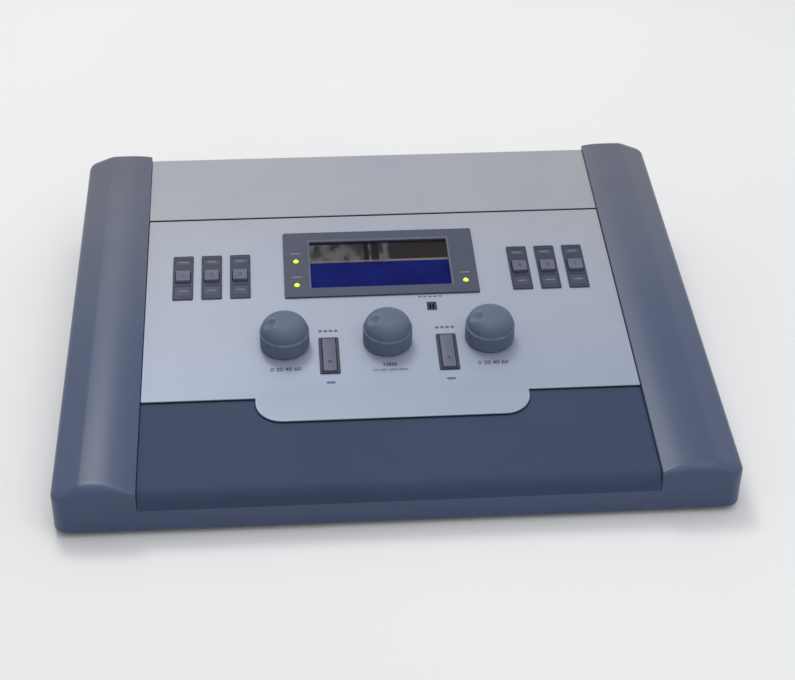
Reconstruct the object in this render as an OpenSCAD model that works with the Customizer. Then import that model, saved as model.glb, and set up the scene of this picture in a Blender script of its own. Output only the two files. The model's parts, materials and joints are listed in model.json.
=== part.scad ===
// Desktop audiometer console, in millimetres.
// +X is to the right, +Y to the rear and +Z up. The origin is on the ground,
// under the middle of the case.
//
// Places on the faceplate are given as (x, s, h): x across, s down the slope from
// the faceplate's rear edge, and h square to the faceplate, 0 on its top surface.
// Controls are placed by p, the distance down the slope from the seam.

/* [Case] */
// Depth of the case
case_d = 295; // [285:1:330]
// Width of the case at the rear
rear_w = 360; // [354:1:400]
// Width of the case at the front
front_w = 370; // [360:1:410]
// Height of the faceplate at the rear of the case
rear_h = 61; // [58:1:80]
// Height of the faceplate's plane at the front of the case
front_h = 28; // [27:1:40]
// Height of the joint between the bottom case and the covers
parting_h = 17; // [15:0.5:18]
// Wall of the moulded covers and of the bottom case
wall = 2.5; // [2:0.1:3]
// Radius of the upright corners
corner_r = 8; // [5:0.5:14]
// Radius of the front edge, between the top and the front
nose_r = 8; // [6:0.5:9]
// Radius of the rear edge
tail_r = 3; // [2.8:0.1:5]
// Height of the feet below the bottom case
foot_h = 4; // [3:0.5:6]
// Diameter of a foot
foot_d = 16; // [12:1:20]
// Distance from a foot's middle to the case's edges
foot_in = 24; // [20:1:32]

/* [Cheeks] */
// Height of a cheek's crown above the faceplate
crown_h = 4; // [3:0.5:6]
// Radius of a cheek's arched top
arch_r = 66; // [60:1:90]
// Distance of the crown from the outer edge
crown_in = 22.5; // [20:0.5:25]
// Radius of the cheek's outer shoulder
shoulder_r = 8; // [6:0.5:12]
// Width of the ledges that carry the faceplate
ledge_w = 7; // [6.5:0.5:9]
// Thickness of these ledges
ledge_t = 2.5; // [2:0.1:3]

/* [Faceplate] */
// Width of the faceplate between the cheeks
face_w = 279.4; // [276:0.2:284]
// Thickness of the faceplate
face_t = 3; // [2.6:0.1:3.6]
// Length of the rear strip, from the rear edge to the seam
strip_l = 65; // [60:1:75]
// Width of the seam
seam = 1.4; // [0.4:0.1:1.5]
// Length of the control panel, from the seam to its front edge
panel_l = 161.5; // [158:0.5:170]
// Width of the tab at the middle of the front edge
tab_w = 153; // [130:1:170]
// Length of the tab
tab_l = 18.8; // [16:0.2:24]
// Radius of the tab's corners
tab_r = 15; // [8:0.5:16]
// Depth of the front strip's surface below the faceplate
strip_drop = 1.5; // [1:0.1:2]

/* [Display] */
// Width of the display bezel
bezel_w = 116; // [114:0.5:118]
// Length of the display bezel down the slope
bezel_l = 60.4; // [59:0.2:62]
// Height of the bezel above the faceplate
bezel_t = 1.2; // [0.8:0.1:2]
// Distance from the seam to the bezel
bezel_p = 17.4; // [16:0.2:20]
// Width of the opening over the screen
screen_w = 84; // [80:0.5:86]
// Length of the opening over the screen
screen_l = 43.4; // [40:0.2:44]
// Thickness of the clear window
window_t = 1.5; // [1:0.1:2]
// Diameter of a status light
light_d = 3.6; // [2.5:0.1:4]
// Distance of the status lights from the bezel's ends
light_in = 7.5; // [7:0.1:8.5]
// Distance of the upper light from the bezel's rear edge
light_p1 = 27.2; // [24:0.2:32]
// Distance of the lower lights from the bezel's rear edge
light_p2 = 49.3; // [44:0.2:52]

/* [Keys] */
// Width of a key's surround
frame_w = 12.2; // [11.5:0.1:13]
// Length of a key's surround
frame_l = 40; // [32:1:44]
// Height of the surround above the faceplate
frame_t = 0.8; // [0.5:0.1:1.5]
// Distance of the first key's middle from the middle of the case
key_x = 84.1; // [83:0.1:86]
// Spacing of the keys
key_pitch = 17; // [16:0.1:17.5]
// Distance of the keys' middle from the seam
key_p = 56.2; // [54:0.2:58]
// Width of a key cap
key_w = 8.6; // [7:0.1:9]
// Length of a key cap
key_l = 9.2; // [8:0.2:12]
// Height of a key cap above the faceplate
key_h = 2.6; // [2.2:0.1:5]
// Travel of a key
key_travel = 1.2; // [0.8:0.1:1.25]

/* [Bars] */
// Width of a bar's surround
bar_frame_w = 11.5; // [11:0.1:13]
// Length of a bar's surround
bar_frame_l = 29.8; // [28:0.2:32]
// Height of the bar's surround above the faceplate
bar_frame_t = 1; // [0.6:0.1:1.5]
// Distance of a bar from the middle of the case
bar_x = 33.9; // [30:0.1:36]
// Distance of a bar's middle from the seam
bar_p = 129; // [126:0.5:132]
// Width of a bar
bar_w = 7.7; // [7:0.1:8]
// Height of a bar above the faceplate
bar_h = 1.8; // [1.2:0.1:3]
// Diameter of a bar's pin
pin_d = 1.6; // [1.4:0.1:2]

/* [Knobs] */
// Diameter of a knob
knob_d = 28.4; // [26:0.2:30]
// Height of a knob
knob_h = 17.6; // [15:0.2:19]
// Height of the straight part of a knob's side
knob_side_h = 9.8; // [8:0.2:11]
// Distance of the outer knobs from the middle of the case
knob_x = 59; // [56:0.2:62]
// Distance of the knobs' middle from the seam
knob_p = 117.6; // [115:0.2:120]
// Diameter of a knob's shaft
shaft_d = 6; // [5:0.5:6.5]
// Diameter of the finger dimple
dimple_d = 9; // [6:0.2:10]
// Depth of the finger dimple
dimple_h = 1.2; // [0.5:0.1:1.5]
// Width of an encoder's body
encoder_w = 16; // [13:0.5:17]
// Diameter of an encoder's bushing
bushing_d = 9; // [8.5:0.5:10]

/* [Microphone] */
// Width of the opening
mic_w = 5.6; // [5:0.1:8]
// Length of the opening
mic_l = 7.4; // [6:0.1:9]
// Distance of the opening from the middle of the case
mic_x = 28.2; // [26:0.2:30]
// Distance of the opening's middle from the seam
mic_p = 88.4; // [88.2:0.2:89.4]

/* [Rear] */
// Depth of the recess for the connectors
rear_in = 6; // [5.6:0.2:8]
// Thickness of the rear panel
rear_t = 2.5; // [2:0.1:3]
// Diameter of a socket's bore
jack_d = 6.5; // [6.4:0.1:6.6]
// Depth of a socket's bore
jack_l = 26; // [24:0.5:28]
// Distance of the first socket from the middle of the case
jack_x = 20; // [18:1:24]
// Spacing of the sockets
jack_pitch = 30; // [26:1:34]
// Distance of the power inlet from the middle of the case
inlet_x = 65; // [50:1:80]
// Diameter of the power inlet's bore
inlet_d = 5.7; // [5.5:0.1:6.5]
// Distance of the power switch from the middle of the case
switch_x = 105; // [95:1:120]
// Turn of the rocker between off and on, in degrees
rocker_turn = 20; // [14:1:22]

/* [Boards] */
// Thickness of a circuit board
board_t = 1.6; // [1.2:0.1:2]
// Depth of the key and knob boards' front below the faceplate
board_h = 14; // [13.8:0.1:15]
// Depth of the display board's front below the faceplate
screen_board_h = 10; // [9.6:0.1:11]
// Width of the main board
main_w = 210; // [190:1:230]
// Length of the main board
main_l = 140; // [130:1:150]
// Height of the main board above the floor
main_h = 5.5; // [4.5:0.5:8]
// Diameter of a short screw's shank
short_d = 2.5; // [2:0.1:2.5]
// Length of a short screw's shank
short_l = 4.3; // [4:0.1:4.4]
// Diameter of a case screw's shank
long_d = 2.9; // [2.5:0.1:3.2]

/* [Hidden] */
$fn = 48;

// Colours, as seen on the object
dark_shell = "#5b6479";
light_shell = "#b3bccd";
dark_trim = "#444b60";
key_grey = "#858a9c";
knob_grey = "#667085";
board_green = "#2f6b4a";
steel = "#b8bcc2";
black = "#202226";

// Clearances
fit_gap = 0.3;          // between covers, and round keys and bars
pin_gap = 0.03;         // round a pin or screw that stays put
run_gap = 0.05;         // round a shaft that turns
overlap = 0.5;          // how far joined shapes of one piece run into each other
far = 400;              // longer than any size of the case
case_margin = 10;       // how far a cutting shape runs past the case

// Slope of the faceplate
slope = atan((rear_h - front_h)/case_d);
flare = atan((front_w - rear_w)/2/case_d);
cheek_x = face_w/2 + fit_gap;
floor_z = foot_h + wall;
under_face = -face_t;
ledge_h = under_face - ledge_t;
arc_n = 8;              // steps in a quarter-round edge
arch_n = 20;            // steps in a cheek's arched top

// Places down the slope
face_end = strip_l + panel_l;
ledge_s0 = 12;          // where the cheeks' ledges start
ledge_s1 = face_end - 7;
strip_screw_s = [25, 50];
panel_screw_p = [15, 80, 149];
face_screw_x = cheek_x - ledge_w/2;

// Screws
short_head_d = 5;
short_head_h = 2;
long_head_d = 6;
long_head_h = 2.4;
head_seat = 3.5;        // from the bottom case's underside to a case screw's seat
long_l = parting_h - foot_h - head_seat + 6.5;
pilot_over = 0.5;       // how much deeper a pilot bore is than its screw
boss_d = 7;
post_d = 8.5;
post_foot_d = 11;

// Where the case screws stand, in (x, y)
cheek_post_x = cheek_x + 20;
cheek_post_y = case_d/2 - 37;
front_post_x = 100;
front_post_y = -case_d/2 + 22;
case_screw_places = [
    for (i = [-1, 1], j = [-1, 1]) [i*cheek_post_x, j*cheek_post_y],
    for (i = [-1, 1]) [i*front_post_x, front_post_y]];

// Where the feet stand, each in a shallow seat
foot_seat = 0.8;
foot_places = [for (i = [-1, 1], j = [-1, 1]) [i*(side_x(j*case_d/2) - foot_in), j*(case_d/2 - foot_in)]];

// The main board and its standoffs
main_y0 = case_d/2 - 27.5 - main_l;
standoff_in = 5;
main_z = floor_z + main_h;
main_screw_places = [
    for (i = [-1, 1], y = [main_y0 + standoff_in, main_y0 + main_l - standoff_in])
        [i*(main_w/2 - standoff_in), y]];
// Each chip's place from the board's middle, width, length and height
board_chips = [
    [-70, 30, 14, 14, 3], [-40, 32, 18, 8, 3], [-10, 28, 22, 22, 3], [30, 30, 14, 14, 3],
    [-60, -2, 20, 10, 4], [-30, -4, 12, 8, 3], [55, 30, 10, 16, 9], [72, 30, 10, 16, 9],
    [10, -14, 26, 9, 4], [50, -10, 16, 8, 3]];
// Each capacitor's place, diameter and height
board_cans = [[75, 2, 10, 11], [75, -14, 10, 11], [62, -6, 6, 9], [-85, 8, 8, 9]];

// The rear panel and what it carries
rear_y = case_d/2 - rear_in;
rear_top = plane_z(rear_y - rear_t, under_face) - 0.2;
rear_mid = (parting_h + rear_top)/2;
rear_foot_l = 12;
rear_screw_x = [-120, 0, 90];
rear_screw_y = rear_y - rear_t - rear_foot_l/2;
jack_xs = [for (i = [0:3]) -jack_x - i*jack_pitch];
nose_d = 8.8;
nose_l = 4.5;
jack_w = 15;
jack_body_l = jack_l - nose_l - rear_t + 6;
jack_nut_w = 12;
jack_nut_t = 2.5;
inlet_flange_d = 12.5;
inlet_flange_t = 1.5;
inlet_body_d = 9.8;
inlet_body_l = 14;
inlet_bore_l = 9.5;
inlet_pin_d = 2;
switch_w = 12.8;
switch_l = 18.8;
switch_deep = 15;
rocker_w = 8.6;
rocker_arm = 7.6;
rocker_pivot_in = 1.5;  // the rocker's axis lies this far inside the switch's face
rocker_stub_d = 2;
rocker_stub_l = 1.2;

// The display
bezel_gap = 3;          // the bezel's border over the cut-out
bezel_deep = 4;         // depth of the bezel's body below the faceplate
rebate = 1.7;           // seat of the window, outside the opening
window_h = -0.8;        // top of the window
lcd_frame_t = 0.8;
lcd_over = 5;           // the screen's frame outside the opening, on each side
display_board_w = 128;
display_board_l = 55;
display_board_p = 20;
display_boss_x = 60;
display_boss_p = [25, 70];
bezel_mid_p = bezel_p + bezel_l/2;
light_proud = 0.8;      // how far a status light stands above the bezel
light_x = bezel_w/2 - light_in;
light_places = [[-light_x, light_p1], [-light_x, light_p2], [light_x, light_p2]];

// Keys
key_xs = [-key_x - 2*key_pitch, -key_x - key_pitch, -key_x, key_x, key_x + key_pitch, key_x + 2*key_pitch];
key_frame_deep = 5;     // depth of a surround's body
frame_lip = 0.6;        // the surround's border over its cut-out
well_in = 3.4;          // from the surround's ends to its wells
well_side = 1.2;        // from the surround's sides to its wells
well_deep = 0.3;
rear_well_gap = 7;      // from a key cap to the well behind it
front_well_gap = 3.6;   // from a key cap to the well in front of it
rear_well_l = (frame_l - key_l)/2 - well_in - rear_well_gap;
front_well_l = (frame_l - key_l)/2 - well_in - front_well_gap;
// Each well's place from the surround's middle, and its length
wells = [
    [well_in + rear_well_l/2 - frame_l/2, rear_well_l],
    [frame_l/2 - well_in - front_well_l/2, front_well_l]];
collar_t = 1.2;
collar_over = 1;        // the collar outside the cap, on each side
stem_w = 3.4;
stem_hole_w = 4.2;
switch_body_w = 9;
switch_top = -key_frame_deep - collar_t - key_travel - 0.2;
stem_tip = switch_top - 1.8;
stem_hole_bottom = stem_tip - key_travel - 0.6;
key_board_w = 60;
key_board_x = key_x + key_pitch;
key_board_l = 46;
key_board_p = 34;
key_boss_dx = 26;
key_boss_p = [40, 74];

// Bars
bar_frame_deep = 7;
bar_l = bar_frame_l - 2.8;
bar_pin_p = bar_p - bar_l/2 + 1.6;
bar_pin_h = -2.6;
bar_t = 3.6;
hub_d = 4;
bar_stem_w = 2.6;
bar_switch_p = bar_p + 10;

// Knobs
knob_xs = [-knob_x, 0, knob_x];
knob_gap = 1;           // between a knob and the faceplate
knob_ledge = 0.6;       // the ledge between a knob's side and its shoulder
knob_bevel = 0.3;       // of the edge outside the ledge
shoulder_n = 16;        // steps in a knob's shoulder
knob_recess_d = 19;
knob_recess_h = 4.5;
bushing_h = 3.6;
encoder_nut_w = 13;
encoder_nut_t = 2.2;
shaft_top = knob_h + knob_gap - 3;
shaft_bottom = -11;
dimple_r = 7.4;         // distance of the dimple from the knob's axis
dimple_a = 195;         // its direction, from +X

// The knob board
knob_board_w = 184;
knob_board_p = 84;
knob_board_l = 72;
knob_boss_x = 88;
knob_boss_p = [96, 149];

// Functions and shapes that several pieces share

function surf_y(s, h) = case_d/2 - s*cos(slope) - h*sin(slope);
function surf_z(s, h) = rear_h - s*sin(slope) + h*cos(slope);

// Height of the plane that lies h above the faceplate, at depth y
function plane_z(y, h) = rear_h + (y - case_d/2)*tan(slope) + h/cos(slope);

function arc(cx, cy, r, a0, a1, n) =
    [for (i = [0:n]) let (a = a0 + (a1 - a0)*i/n) [cx + r*cos(a), cy + r*sin(a)]];

module on_face(x, s, h) {
    translate([x, surf_y(s, h), surf_z(s, h)])
        rotate([slope, 0, 0])
            children();
}

// A block centred in x and y that stands on z = 0
module block(w, l, t) {
    translate([-w/2, -l/2, 0])
        cube([w, l, t]);
}

// A block from h0 up to h1, square to the faceplate, centred on (x, s)
module face_block(x, s, w, l, h0, h1) {
    on_face(x, s, h0)
        block(w, l, h1 - h0);
}

// A cylinder from h0 up to h1, square to the faceplate
module face_rod(x, s, d, h0, h1) {
    on_face(x, s, h0)
        cylinder(d = d, h = h1 - h0);
}

// Extrudes a (Y, Z) outline along X
module along_x(x0, w) {
    translate([x0, 0, 0])
        rotate([90, 0, 90])
            linear_extrude(w)
                children();
}

function side_x(y) = rear_w/2 + (case_d/2 - y)*tan(flare);

// Right half of the case seen from above, from front to rear
function half_outline(inset) =
    let (r = corner_r - inset, y = case_d/2 - inset - r, over = (inset + r)/cos(flare))
    concat(arc(side_x(-y) - over, -y, r, -90, flare, arc_n), arc(side_x(y) - over, y, r, flare, 90, arc_n));

module case_outline(inset) {
    half = half_outline(inset);
    last = len(half) - 1;
    polygon(concat(half, [for (i = [last:-1:0]) [-half[i][0], half[i][1]]]));
}

// Side view of the case, down to z0, with its top h above the faceplate
function side_view(h, inset, z0) =
    let (rf = nose_r - inset, rr = max(tail_r - inset, 0.3))
    let (yf = -case_d/2 + inset + rf, yr = case_d/2 - inset - rr)
    concat([[yr + rr, z0]], arc(yr, plane_z(yr, h - rr), rr, 0, 90 + slope, arc_n),
        arc(yf, plane_z(yf, h - rf), rf, 90 + slope, 180, arc_n), [[yf - rf, z0]]);

// A short screw that stands on its seat at z = 0 and points up
module short_screw() {
    translate([0, 0, -short_head_h])
        cylinder(d = short_head_d, h = short_head_h);
    cylinder(d = short_d, h = short_l);
}

module pilot(depth) {
    translate([0, 0, -depth])
        cylinder(d = short_d + 2*pin_gap, h = depth + overlap);
}

// Screw places under the faceplate, as (x, s)
face_screw_places = [
    for (i = [-1, 1], s = strip_screw_s) [i*face_screw_x, s],
    for (i = [-1, 1], p = panel_screw_p) [i*face_screw_x, strip_l + p]];
key_boss_places = [
    for (i = [-1, 1], j = [-1, 1], p = key_boss_p) [i*key_board_x + j*key_boss_dx, strip_l + p]];
knob_boss_places = [for (i = [-1, 1], p = knob_boss_p) [i*knob_boss_x, strip_l + p]];
display_boss_places = [for (i = [-1, 1], p = display_boss_p) [i*display_boss_x, strip_l + p]];

// The case

module lip() {
    lip_t = 1.5;
    lip_h = 3;
    lip_end = 30;
    inner_x = cheek_x + wall + 1;
    side_l = case_d - 2*lip_end;
    lip_places = [[-inner_x - far/2, side_l, far], [inner_x + far/2, side_l, far]];
    intersection() {
        difference() {
            translate([0, 0, parting_h - overlap])
                linear_extrude(lip_h + overlap)
                    case_outline(wall - overlap);
            translate([0, 0, parting_h - 2*overlap])
                linear_extrude(lip_h + 3*overlap)
                    case_outline(wall + lip_t);
            // The part above the joint stands clear of the cheek's wall
            translate([0, 0, parting_h])
                linear_extrude(far)
                    difference() {
                        square([2*far, 2*far], center = true);
                        case_outline(wall + 0.2);
                    }
        }
        for (p = lip_places)
            translate([p[0], 0, 0])
                block(p[2], p[1], far);
    }
}

module bottom_case() {
    color(dark_shell)
    difference() {
        union() {
            difference() {
                translate([0, 0, foot_h])
                    linear_extrude(parting_h - foot_h)
                        case_outline(0);
                translate([0, 0, floor_z])
                    linear_extrude(parting_h)
                        case_outline(wall);
            }
            lip();
            for (p = case_screw_places)
                translate([p[0], p[1], floor_z - overlap]) {
                    cylinder(d = post_d, h = parting_h - floor_z + overlap);
                    cylinder(d = post_foot_d, h = head_seat);
                }
            for (p = main_screw_places)
                translate([p[0], p[1], floor_z - overlap])
                    cylinder(d = boss_d, h = main_h + overlap);
            for (x = rear_screw_x)
                translate([x, rear_screw_y, floor_z - overlap])
                    cylinder(d = boss_d, h = parting_h - floor_z + overlap);
        }
        for (p = case_screw_places)
            translate([p[0], p[1], foot_h - overlap]) {
                cylinder(d = long_head_d + 0.6, h = head_seat + overlap);
                cylinder(d = long_d + 0.5, h = far);
            }
        for (p = main_screw_places)
            translate([p[0], p[1], main_z])
                pilot(short_l + pilot_over - board_t);
        for (x = rear_screw_x)
            translate([x, rear_screw_y, parting_h])
                pilot(short_l + pilot_over - wall);
        for (p = foot_places)
            translate([p[0], p[1], foot_h - overlap])
                cylinder(d = foot_d + 2*run_gap, h = foot_seat + overlap);
    }
}

module feet() {
    bevel = 1;
    color(black)
    for (p = foot_places)
        translate([p[0], p[1], 0]) {
            cylinder(d1 = foot_d - 2*bevel, d2 = foot_d, h = bevel);
            translate([0, 0, bevel])
                cylinder(d = foot_d, h = foot_h + foot_seat - bevel);
        }
}

module case_screws() {
    color(steel)
    for (p = case_screw_places)
        translate([p[0], p[1], foot_h + head_seat]) {
            translate([0, 0, -long_head_h])
                cylinder(d = long_head_d, h = long_head_h);
            cylinder(d = long_d, h = long_l);
        }
}

// The right cheek's arched top, inset by the wall for its inside
module arch(inset) {
    edge_a = 12;
    us = -shoulder_r*cos(edge_a);
    hc = crown_h - arch_r;
    hs = hc + sqrt(pow(arch_r - shoulder_r, 2) - pow(us + crown_in, 2));
    tangent_a = atan2(hs - hc, us + crown_in);
    inner_a = 130;
    outline = concat(
        arc(-crown_in, hc, arch_r - inset, inner_a, tangent_a, arch_n),
        arc(us, hs, shoulder_r - inset, tangent_a, 0, arc_n),
        [[case_margin, hs], [case_margin, -far], [-arch_r, -far]]);
    on_face(rear_w/2, 0, 0)
        rotate([90, 0, flare])
            translate([0, 0, -case_margin])
                linear_extrude(far)
                    polygon(outline);
}
module cheek_space(inset, z0) {
    lift = 0.4;          // keeps the rounded ends' flat top clear of the crown
    intersection() {
        arch(inset);
        along_x(cheek_x + inset, far/2)
            polygon(side_view(crown_h + lift - inset, inset, z0 - 1));
        translate([0, 0, z0])
            linear_extrude(far)
                case_outline(inset);
    }
}

module right_cheek_shape() {
    difference() {
        union() {
            difference() {
                cheek_space(0, parting_h);
                difference() {
                    cheek_space(wall, parting_h - overlap);
                    for (j = [-1, 1])
                        translate([cheek_post_x, j*cheek_post_y, 0])
                            cylinder(d = post_d, h = far);
                }
            }
            on_face(cheek_x - ledge_w, ledge_s1, ledge_h)
                cube([ledge_w + wall/2, ledge_s1 - ledge_s0, ledge_t]);
        }
        for (j = [-1, 1])
            translate([cheek_post_x, j*cheek_post_y, foot_h + head_seat])
                cylinder(d = long_d + 2*pin_gap, h = long_l + pilot_over);
        for (p = face_screw_places)
            face_rod(p[0], p[1], short_d + 0.4, ledge_h - 1, under_face + 1);
    }
}

module right_cheek() {
    color(dark_shell)
        right_cheek_shape();
}

module left_cheek() {
    color(dark_shell)
        mirror([1, 0, 0])
            right_cheek_shape();
}

// The tab's outline below y = 0, grown by gap
module tab_outline(gap) {
    w = tab_w/2 + gap;
    l = tab_l + gap;
    r = tab_r + gap;
    polygon(concat([[w, overlap], [-w, overlap]], arc(-w + r, -l + r, r, 180, 270, arc_n),
        arc(w - r, -l + r, r, 270, 360, arc_n)));
}

module front_strip() {
    top = -strip_drop;
    start = face_end + fit_gap;
    strip_ledge_w = face_w - 2*ledge_w - 1;
    strip_ledge_s0 = ledge_s1 + 0.5;
    color(dark_shell)
    difference() {
        union() {
            difference() {
                intersection() {
                    along_x(-face_w/2, face_w)
                        polygon(side_view(top, 0, parting_h));
                    on_face(-far/2, start + far, -far/2)
                        cube([far, far, far]);
                    translate([-far/2, -far/2, parting_h])
                        cube([far, far, far]);
                }
                difference() {
                    along_x(-far/2, far)
                        polygon(side_view(top - face_t, wall, parting_h - 1));
                    for (i = [-1, 1])
                        translate([i*front_post_x, front_post_y, 0])
                            cylinder(d = post_d, h = far);
                }
            }
            on_face(-strip_ledge_w/2, start + overlap, ledge_h)
                cube([strip_ledge_w, start + overlap - strip_ledge_s0, ledge_t]);
        }
        on_face(0, face_end, under_face)
            linear_extrude(face_t)
                tab_outline(fit_gap);
        for (i = [-1, 1])
            translate([i*front_post_x, front_post_y, foot_h + head_seat])
                cylinder(d = long_d + 2*pin_gap, h = long_l + pilot_over);
    }
}

module control_panel() {
    face_l = panel_l - seam/2;
    color(light_shell)
    difference() {
        union() {
            on_face(0, face_end, under_face)
                linear_extrude(face_t)
                    union() {
                        translate([-face_w/2, 0])
                            square([face_w, face_l]);
                        tab_outline(0);
                    }
            for (p = concat(key_boss_places, knob_boss_places))
                face_rod(p[0], p[1], boss_d, -board_h, under_face + overlap);
            for (p = display_boss_places)
                face_rod(p[0], p[1], boss_d, -screen_board_h, under_face + overlap);
        }
        face_block(0, strip_l + bezel_mid_p, bezel_w - 2*bezel_gap, bezel_l - 2*bezel_gap, -face_t - 1, 1);
        for (x = key_xs)
            face_block(x, strip_l + key_p, frame_w - 2*frame_lip, frame_l - 2*frame_lip, -face_t - 1, 1);
        for (i = [-1, 1])
            face_block(i*bar_x, strip_l + bar_p, bar_frame_w - 2*frame_lip, bar_frame_l - 2*frame_lip,
                -face_t - 1, 1);
        for (x = knob_xs)
            face_rod(x, strip_l + knob_p, bushing_d + 0.3, -face_t - 1, 1);
        face_block(mic_x, strip_l + mic_p, mic_w, mic_l, -face_t - 1, 1);
        for (p = face_screw_places)
            face_rod(p[0], p[1], short_d + 2*pin_gap, under_face - 1, ledge_h + short_l + 0.2);
        for (p = concat(key_boss_places, knob_boss_places))
            face_rod(p[0], p[1], short_d + 2*pin_gap, -board_h - 1, -board_h + short_l);
        for (p = display_boss_places)
            face_rod(p[0], p[1], short_d + 2*pin_gap, -screen_board_h - 1, -screen_board_h + short_l);
    }
}

module rear_strip() {
    hem_h = 9;
    tongue_w = face_w - 2*ledge_w - 1;
    tongue_in = 8;
    tongue_out = 6;
    color(light_shell)
    difference() {
        union() {
            intersection() {
                along_x(-face_w/2, face_w)
                    polygon(side_view(0, 0, 0));
                union() {
                    on_face(-far/2, strip_l - seam/2, under_face)
                        cube([far, strip_l + case_margin, 2*face_t]);
                    translate([-far/2, case_d/2 - wall, rear_h - hem_h])
                        cube([far, case_margin, hem_h]);
                }
            }
            on_face(-tongue_w/2, strip_l + tongue_out, ledge_h)
                cube([tongue_w, tongue_out + tongue_in, ledge_t]);
            on_face(-tongue_w/2, strip_l - seam, ledge_h)
                cube([tongue_w, tongue_in - seam, ledge_t + overlap]);
        }
        for (p = face_screw_places)
            face_rod(p[0], p[1], short_d + 2*pin_gap, under_face - 1, ledge_h + short_l + 0.2);
    }
}

// The rear panel and what it carries

// On the rear panel's face, n out from it
module on_rear(x, z, n) {
    translate([x, rear_y + n, z])
        rotate([-90, 0, 0])
            children();
}

module rear_panel() {
    foot_y = rear_y - rear_t - rear_foot_l;
    color(dark_trim)
    difference() {
        union() {
            translate([-face_w/2, rear_y - rear_t, parting_h])
                cube([face_w, rear_t, rear_top - parting_h]);
            translate([-face_w/2, foot_y, parting_h])
                cube([face_w, case_d/2 - 0.2 - foot_y, wall]);
        }
        for (x = jack_xs)
            on_rear(x, rear_mid, -rear_t - 1)
                cylinder(d = nose_d + 0.4, h = rear_t + 2);
        on_rear(inlet_x, rear_mid, -rear_t - 1)
            cylinder(d = inlet_body_d + 0.4, h = rear_t + 2);
        on_rear(switch_x, rear_mid, -rear_t - 1)
            block(switch_w + 0.4, switch_l + 0.4, rear_t + 2);
        for (x = rear_screw_x)
            translate([x, rear_screw_y, parting_h - 1])
                cylinder(d = short_d + 0.4, h = wall + 2);
    }
}

module jack(i) {
    color(black)
    difference() {
        union() {
            on_rear(jack_xs[i], rear_mid, -rear_t - jack_body_l)
                block(jack_w, jack_w, jack_body_l);
            on_rear(jack_xs[i], rear_mid, -rear_t - overlap)
                cylinder(d = nose_d, h = rear_t + nose_l + overlap);
        }
        on_rear(jack_xs[i], rear_mid, nose_l - jack_l)
            cylinder(d = jack_d, h = jack_l + 1);
    }
}

module jack_nuts() {
    color(steel)
    for (x = jack_xs)
        on_rear(x, rear_mid, 0)
            difference() {
                cylinder(d = jack_nut_w/cos(30), h = jack_nut_t, $fn = 6);
                translate([0, 0, -1])
                    cylinder(d = nose_d + 2*pin_gap, h = jack_nut_t + 2);
            }
}

module power_inlet() {
    color(black) {
        difference() {
            union() {
                on_rear(inlet_x, rear_mid, 0)
                    cylinder(d = inlet_flange_d, h = inlet_flange_t);
                on_rear(inlet_x, rear_mid, -inlet_body_l)
                    cylinder(d = inlet_body_d, h = inlet_body_l + overlap);
            }
            on_rear(inlet_x, rear_mid, inlet_flange_t - inlet_bore_l)
                cylinder(d = inlet_d, h = inlet_bore_l + 1);
        }
        on_rear(inlet_x, rear_mid, inlet_flange_t - inlet_bore_l - overlap)
            cylinder(d = inlet_pin_d, h = inlet_bore_l + overlap - 1);
    }
}

module power_switch_frame() {
    flange_t = 1.8;
    border = 1.1;
    cavity_w = rocker_w + 0.4;
    cavity_l = 2*rocker_arm + 2.2;
    cavity_deep = 8;
    color(black)
    difference() {
        union() {
            on_rear(switch_x, rear_mid, 0)
                block(switch_w + 2*border, switch_l + 2*border, flange_t);
            on_rear(switch_x, rear_mid, -switch_deep)
                block(switch_w, switch_l, switch_deep + overlap);
        }
        on_rear(switch_x, rear_mid, -cavity_deep)
            block(cavity_w, cavity_l, far);
        on_rear(switch_x, rear_mid, -rocker_pivot_in)
            rotate([0, 90, 0])
                cylinder(d = rocker_stub_d + 2*run_gap, h = rocker_w + 2*rocker_stub_l + 0.2, center = true);
    }
}

module power_rocker() {
    // Side view about the axis: two arms that meet in a shallow valley
    half = [[0, 2], [rocker_arm, 3.4], [rocker_arm, 0.5], [2.5, -3.5]];
    outline = concat(half, [for (i = [3:-1:1]) [-half[i][0], half[i][1]]]);
    color(key_grey)
    on_rear(switch_x, rear_mid, -rocker_pivot_in)
        rotate([-rocker_turn/2, 0, 0]) {
            rotate([90, 0, 90])
                translate([0, 0, -rocker_w/2])
                    linear_extrude(rocker_w)
                        polygon(outline);
            rotate([0, 90, 0])
                cylinder(d = rocker_stub_d, h = rocker_w + 2*rocker_stub_l, center = true);
        }
}

// The display

module display_bezel() {
    s = strip_l + bezel_mid_p;
    color(dark_trim)
    difference() {
        union() {
            face_block(0, s, bezel_w, bezel_l, 0, bezel_t);
            face_block(0, s, bezel_w - 2*bezel_gap - 0.4, bezel_l - 2*bezel_gap - 0.4, -bezel_deep, overlap);
        }
        face_block(0, s, screen_w, screen_l, -bezel_deep - 1, bezel_t + 1);
        face_block(0, s, screen_w + 2*rebate, screen_l + 2*rebate, -bezel_deep - 1, window_h);
        for (p = light_places)
            face_rod(p[0], strip_l + bezel_p + p[1], light_d + 0.3, -bezel_deep - 1, bezel_t + 1);
    }
}

module display_window() {
    color("#8a93a6", 0.35)
        face_block(0, strip_l + bezel_mid_p, screen_w + 2*rebate - 0.4, screen_l + 2*rebate - 0.4,
            window_h - window_t, window_h);
}

module lcd_frame() {
    s = strip_l + bezel_mid_p;
    w = screen_w + 2*lcd_over;
    l = screen_l + 2*lcd_over;
    color(steel)
    difference() {
        face_block(0, s, w, l, -screen_board_h, -bezel_deep);
        face_block(0, s, w - 2*lcd_frame_t, l - 2*lcd_frame_t,
            -screen_board_h - 1, -bezel_deep - lcd_frame_t);
        face_block(0, s, screen_w + 1, screen_l + 1, -screen_board_h - 1, 1);
    }
}

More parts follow.
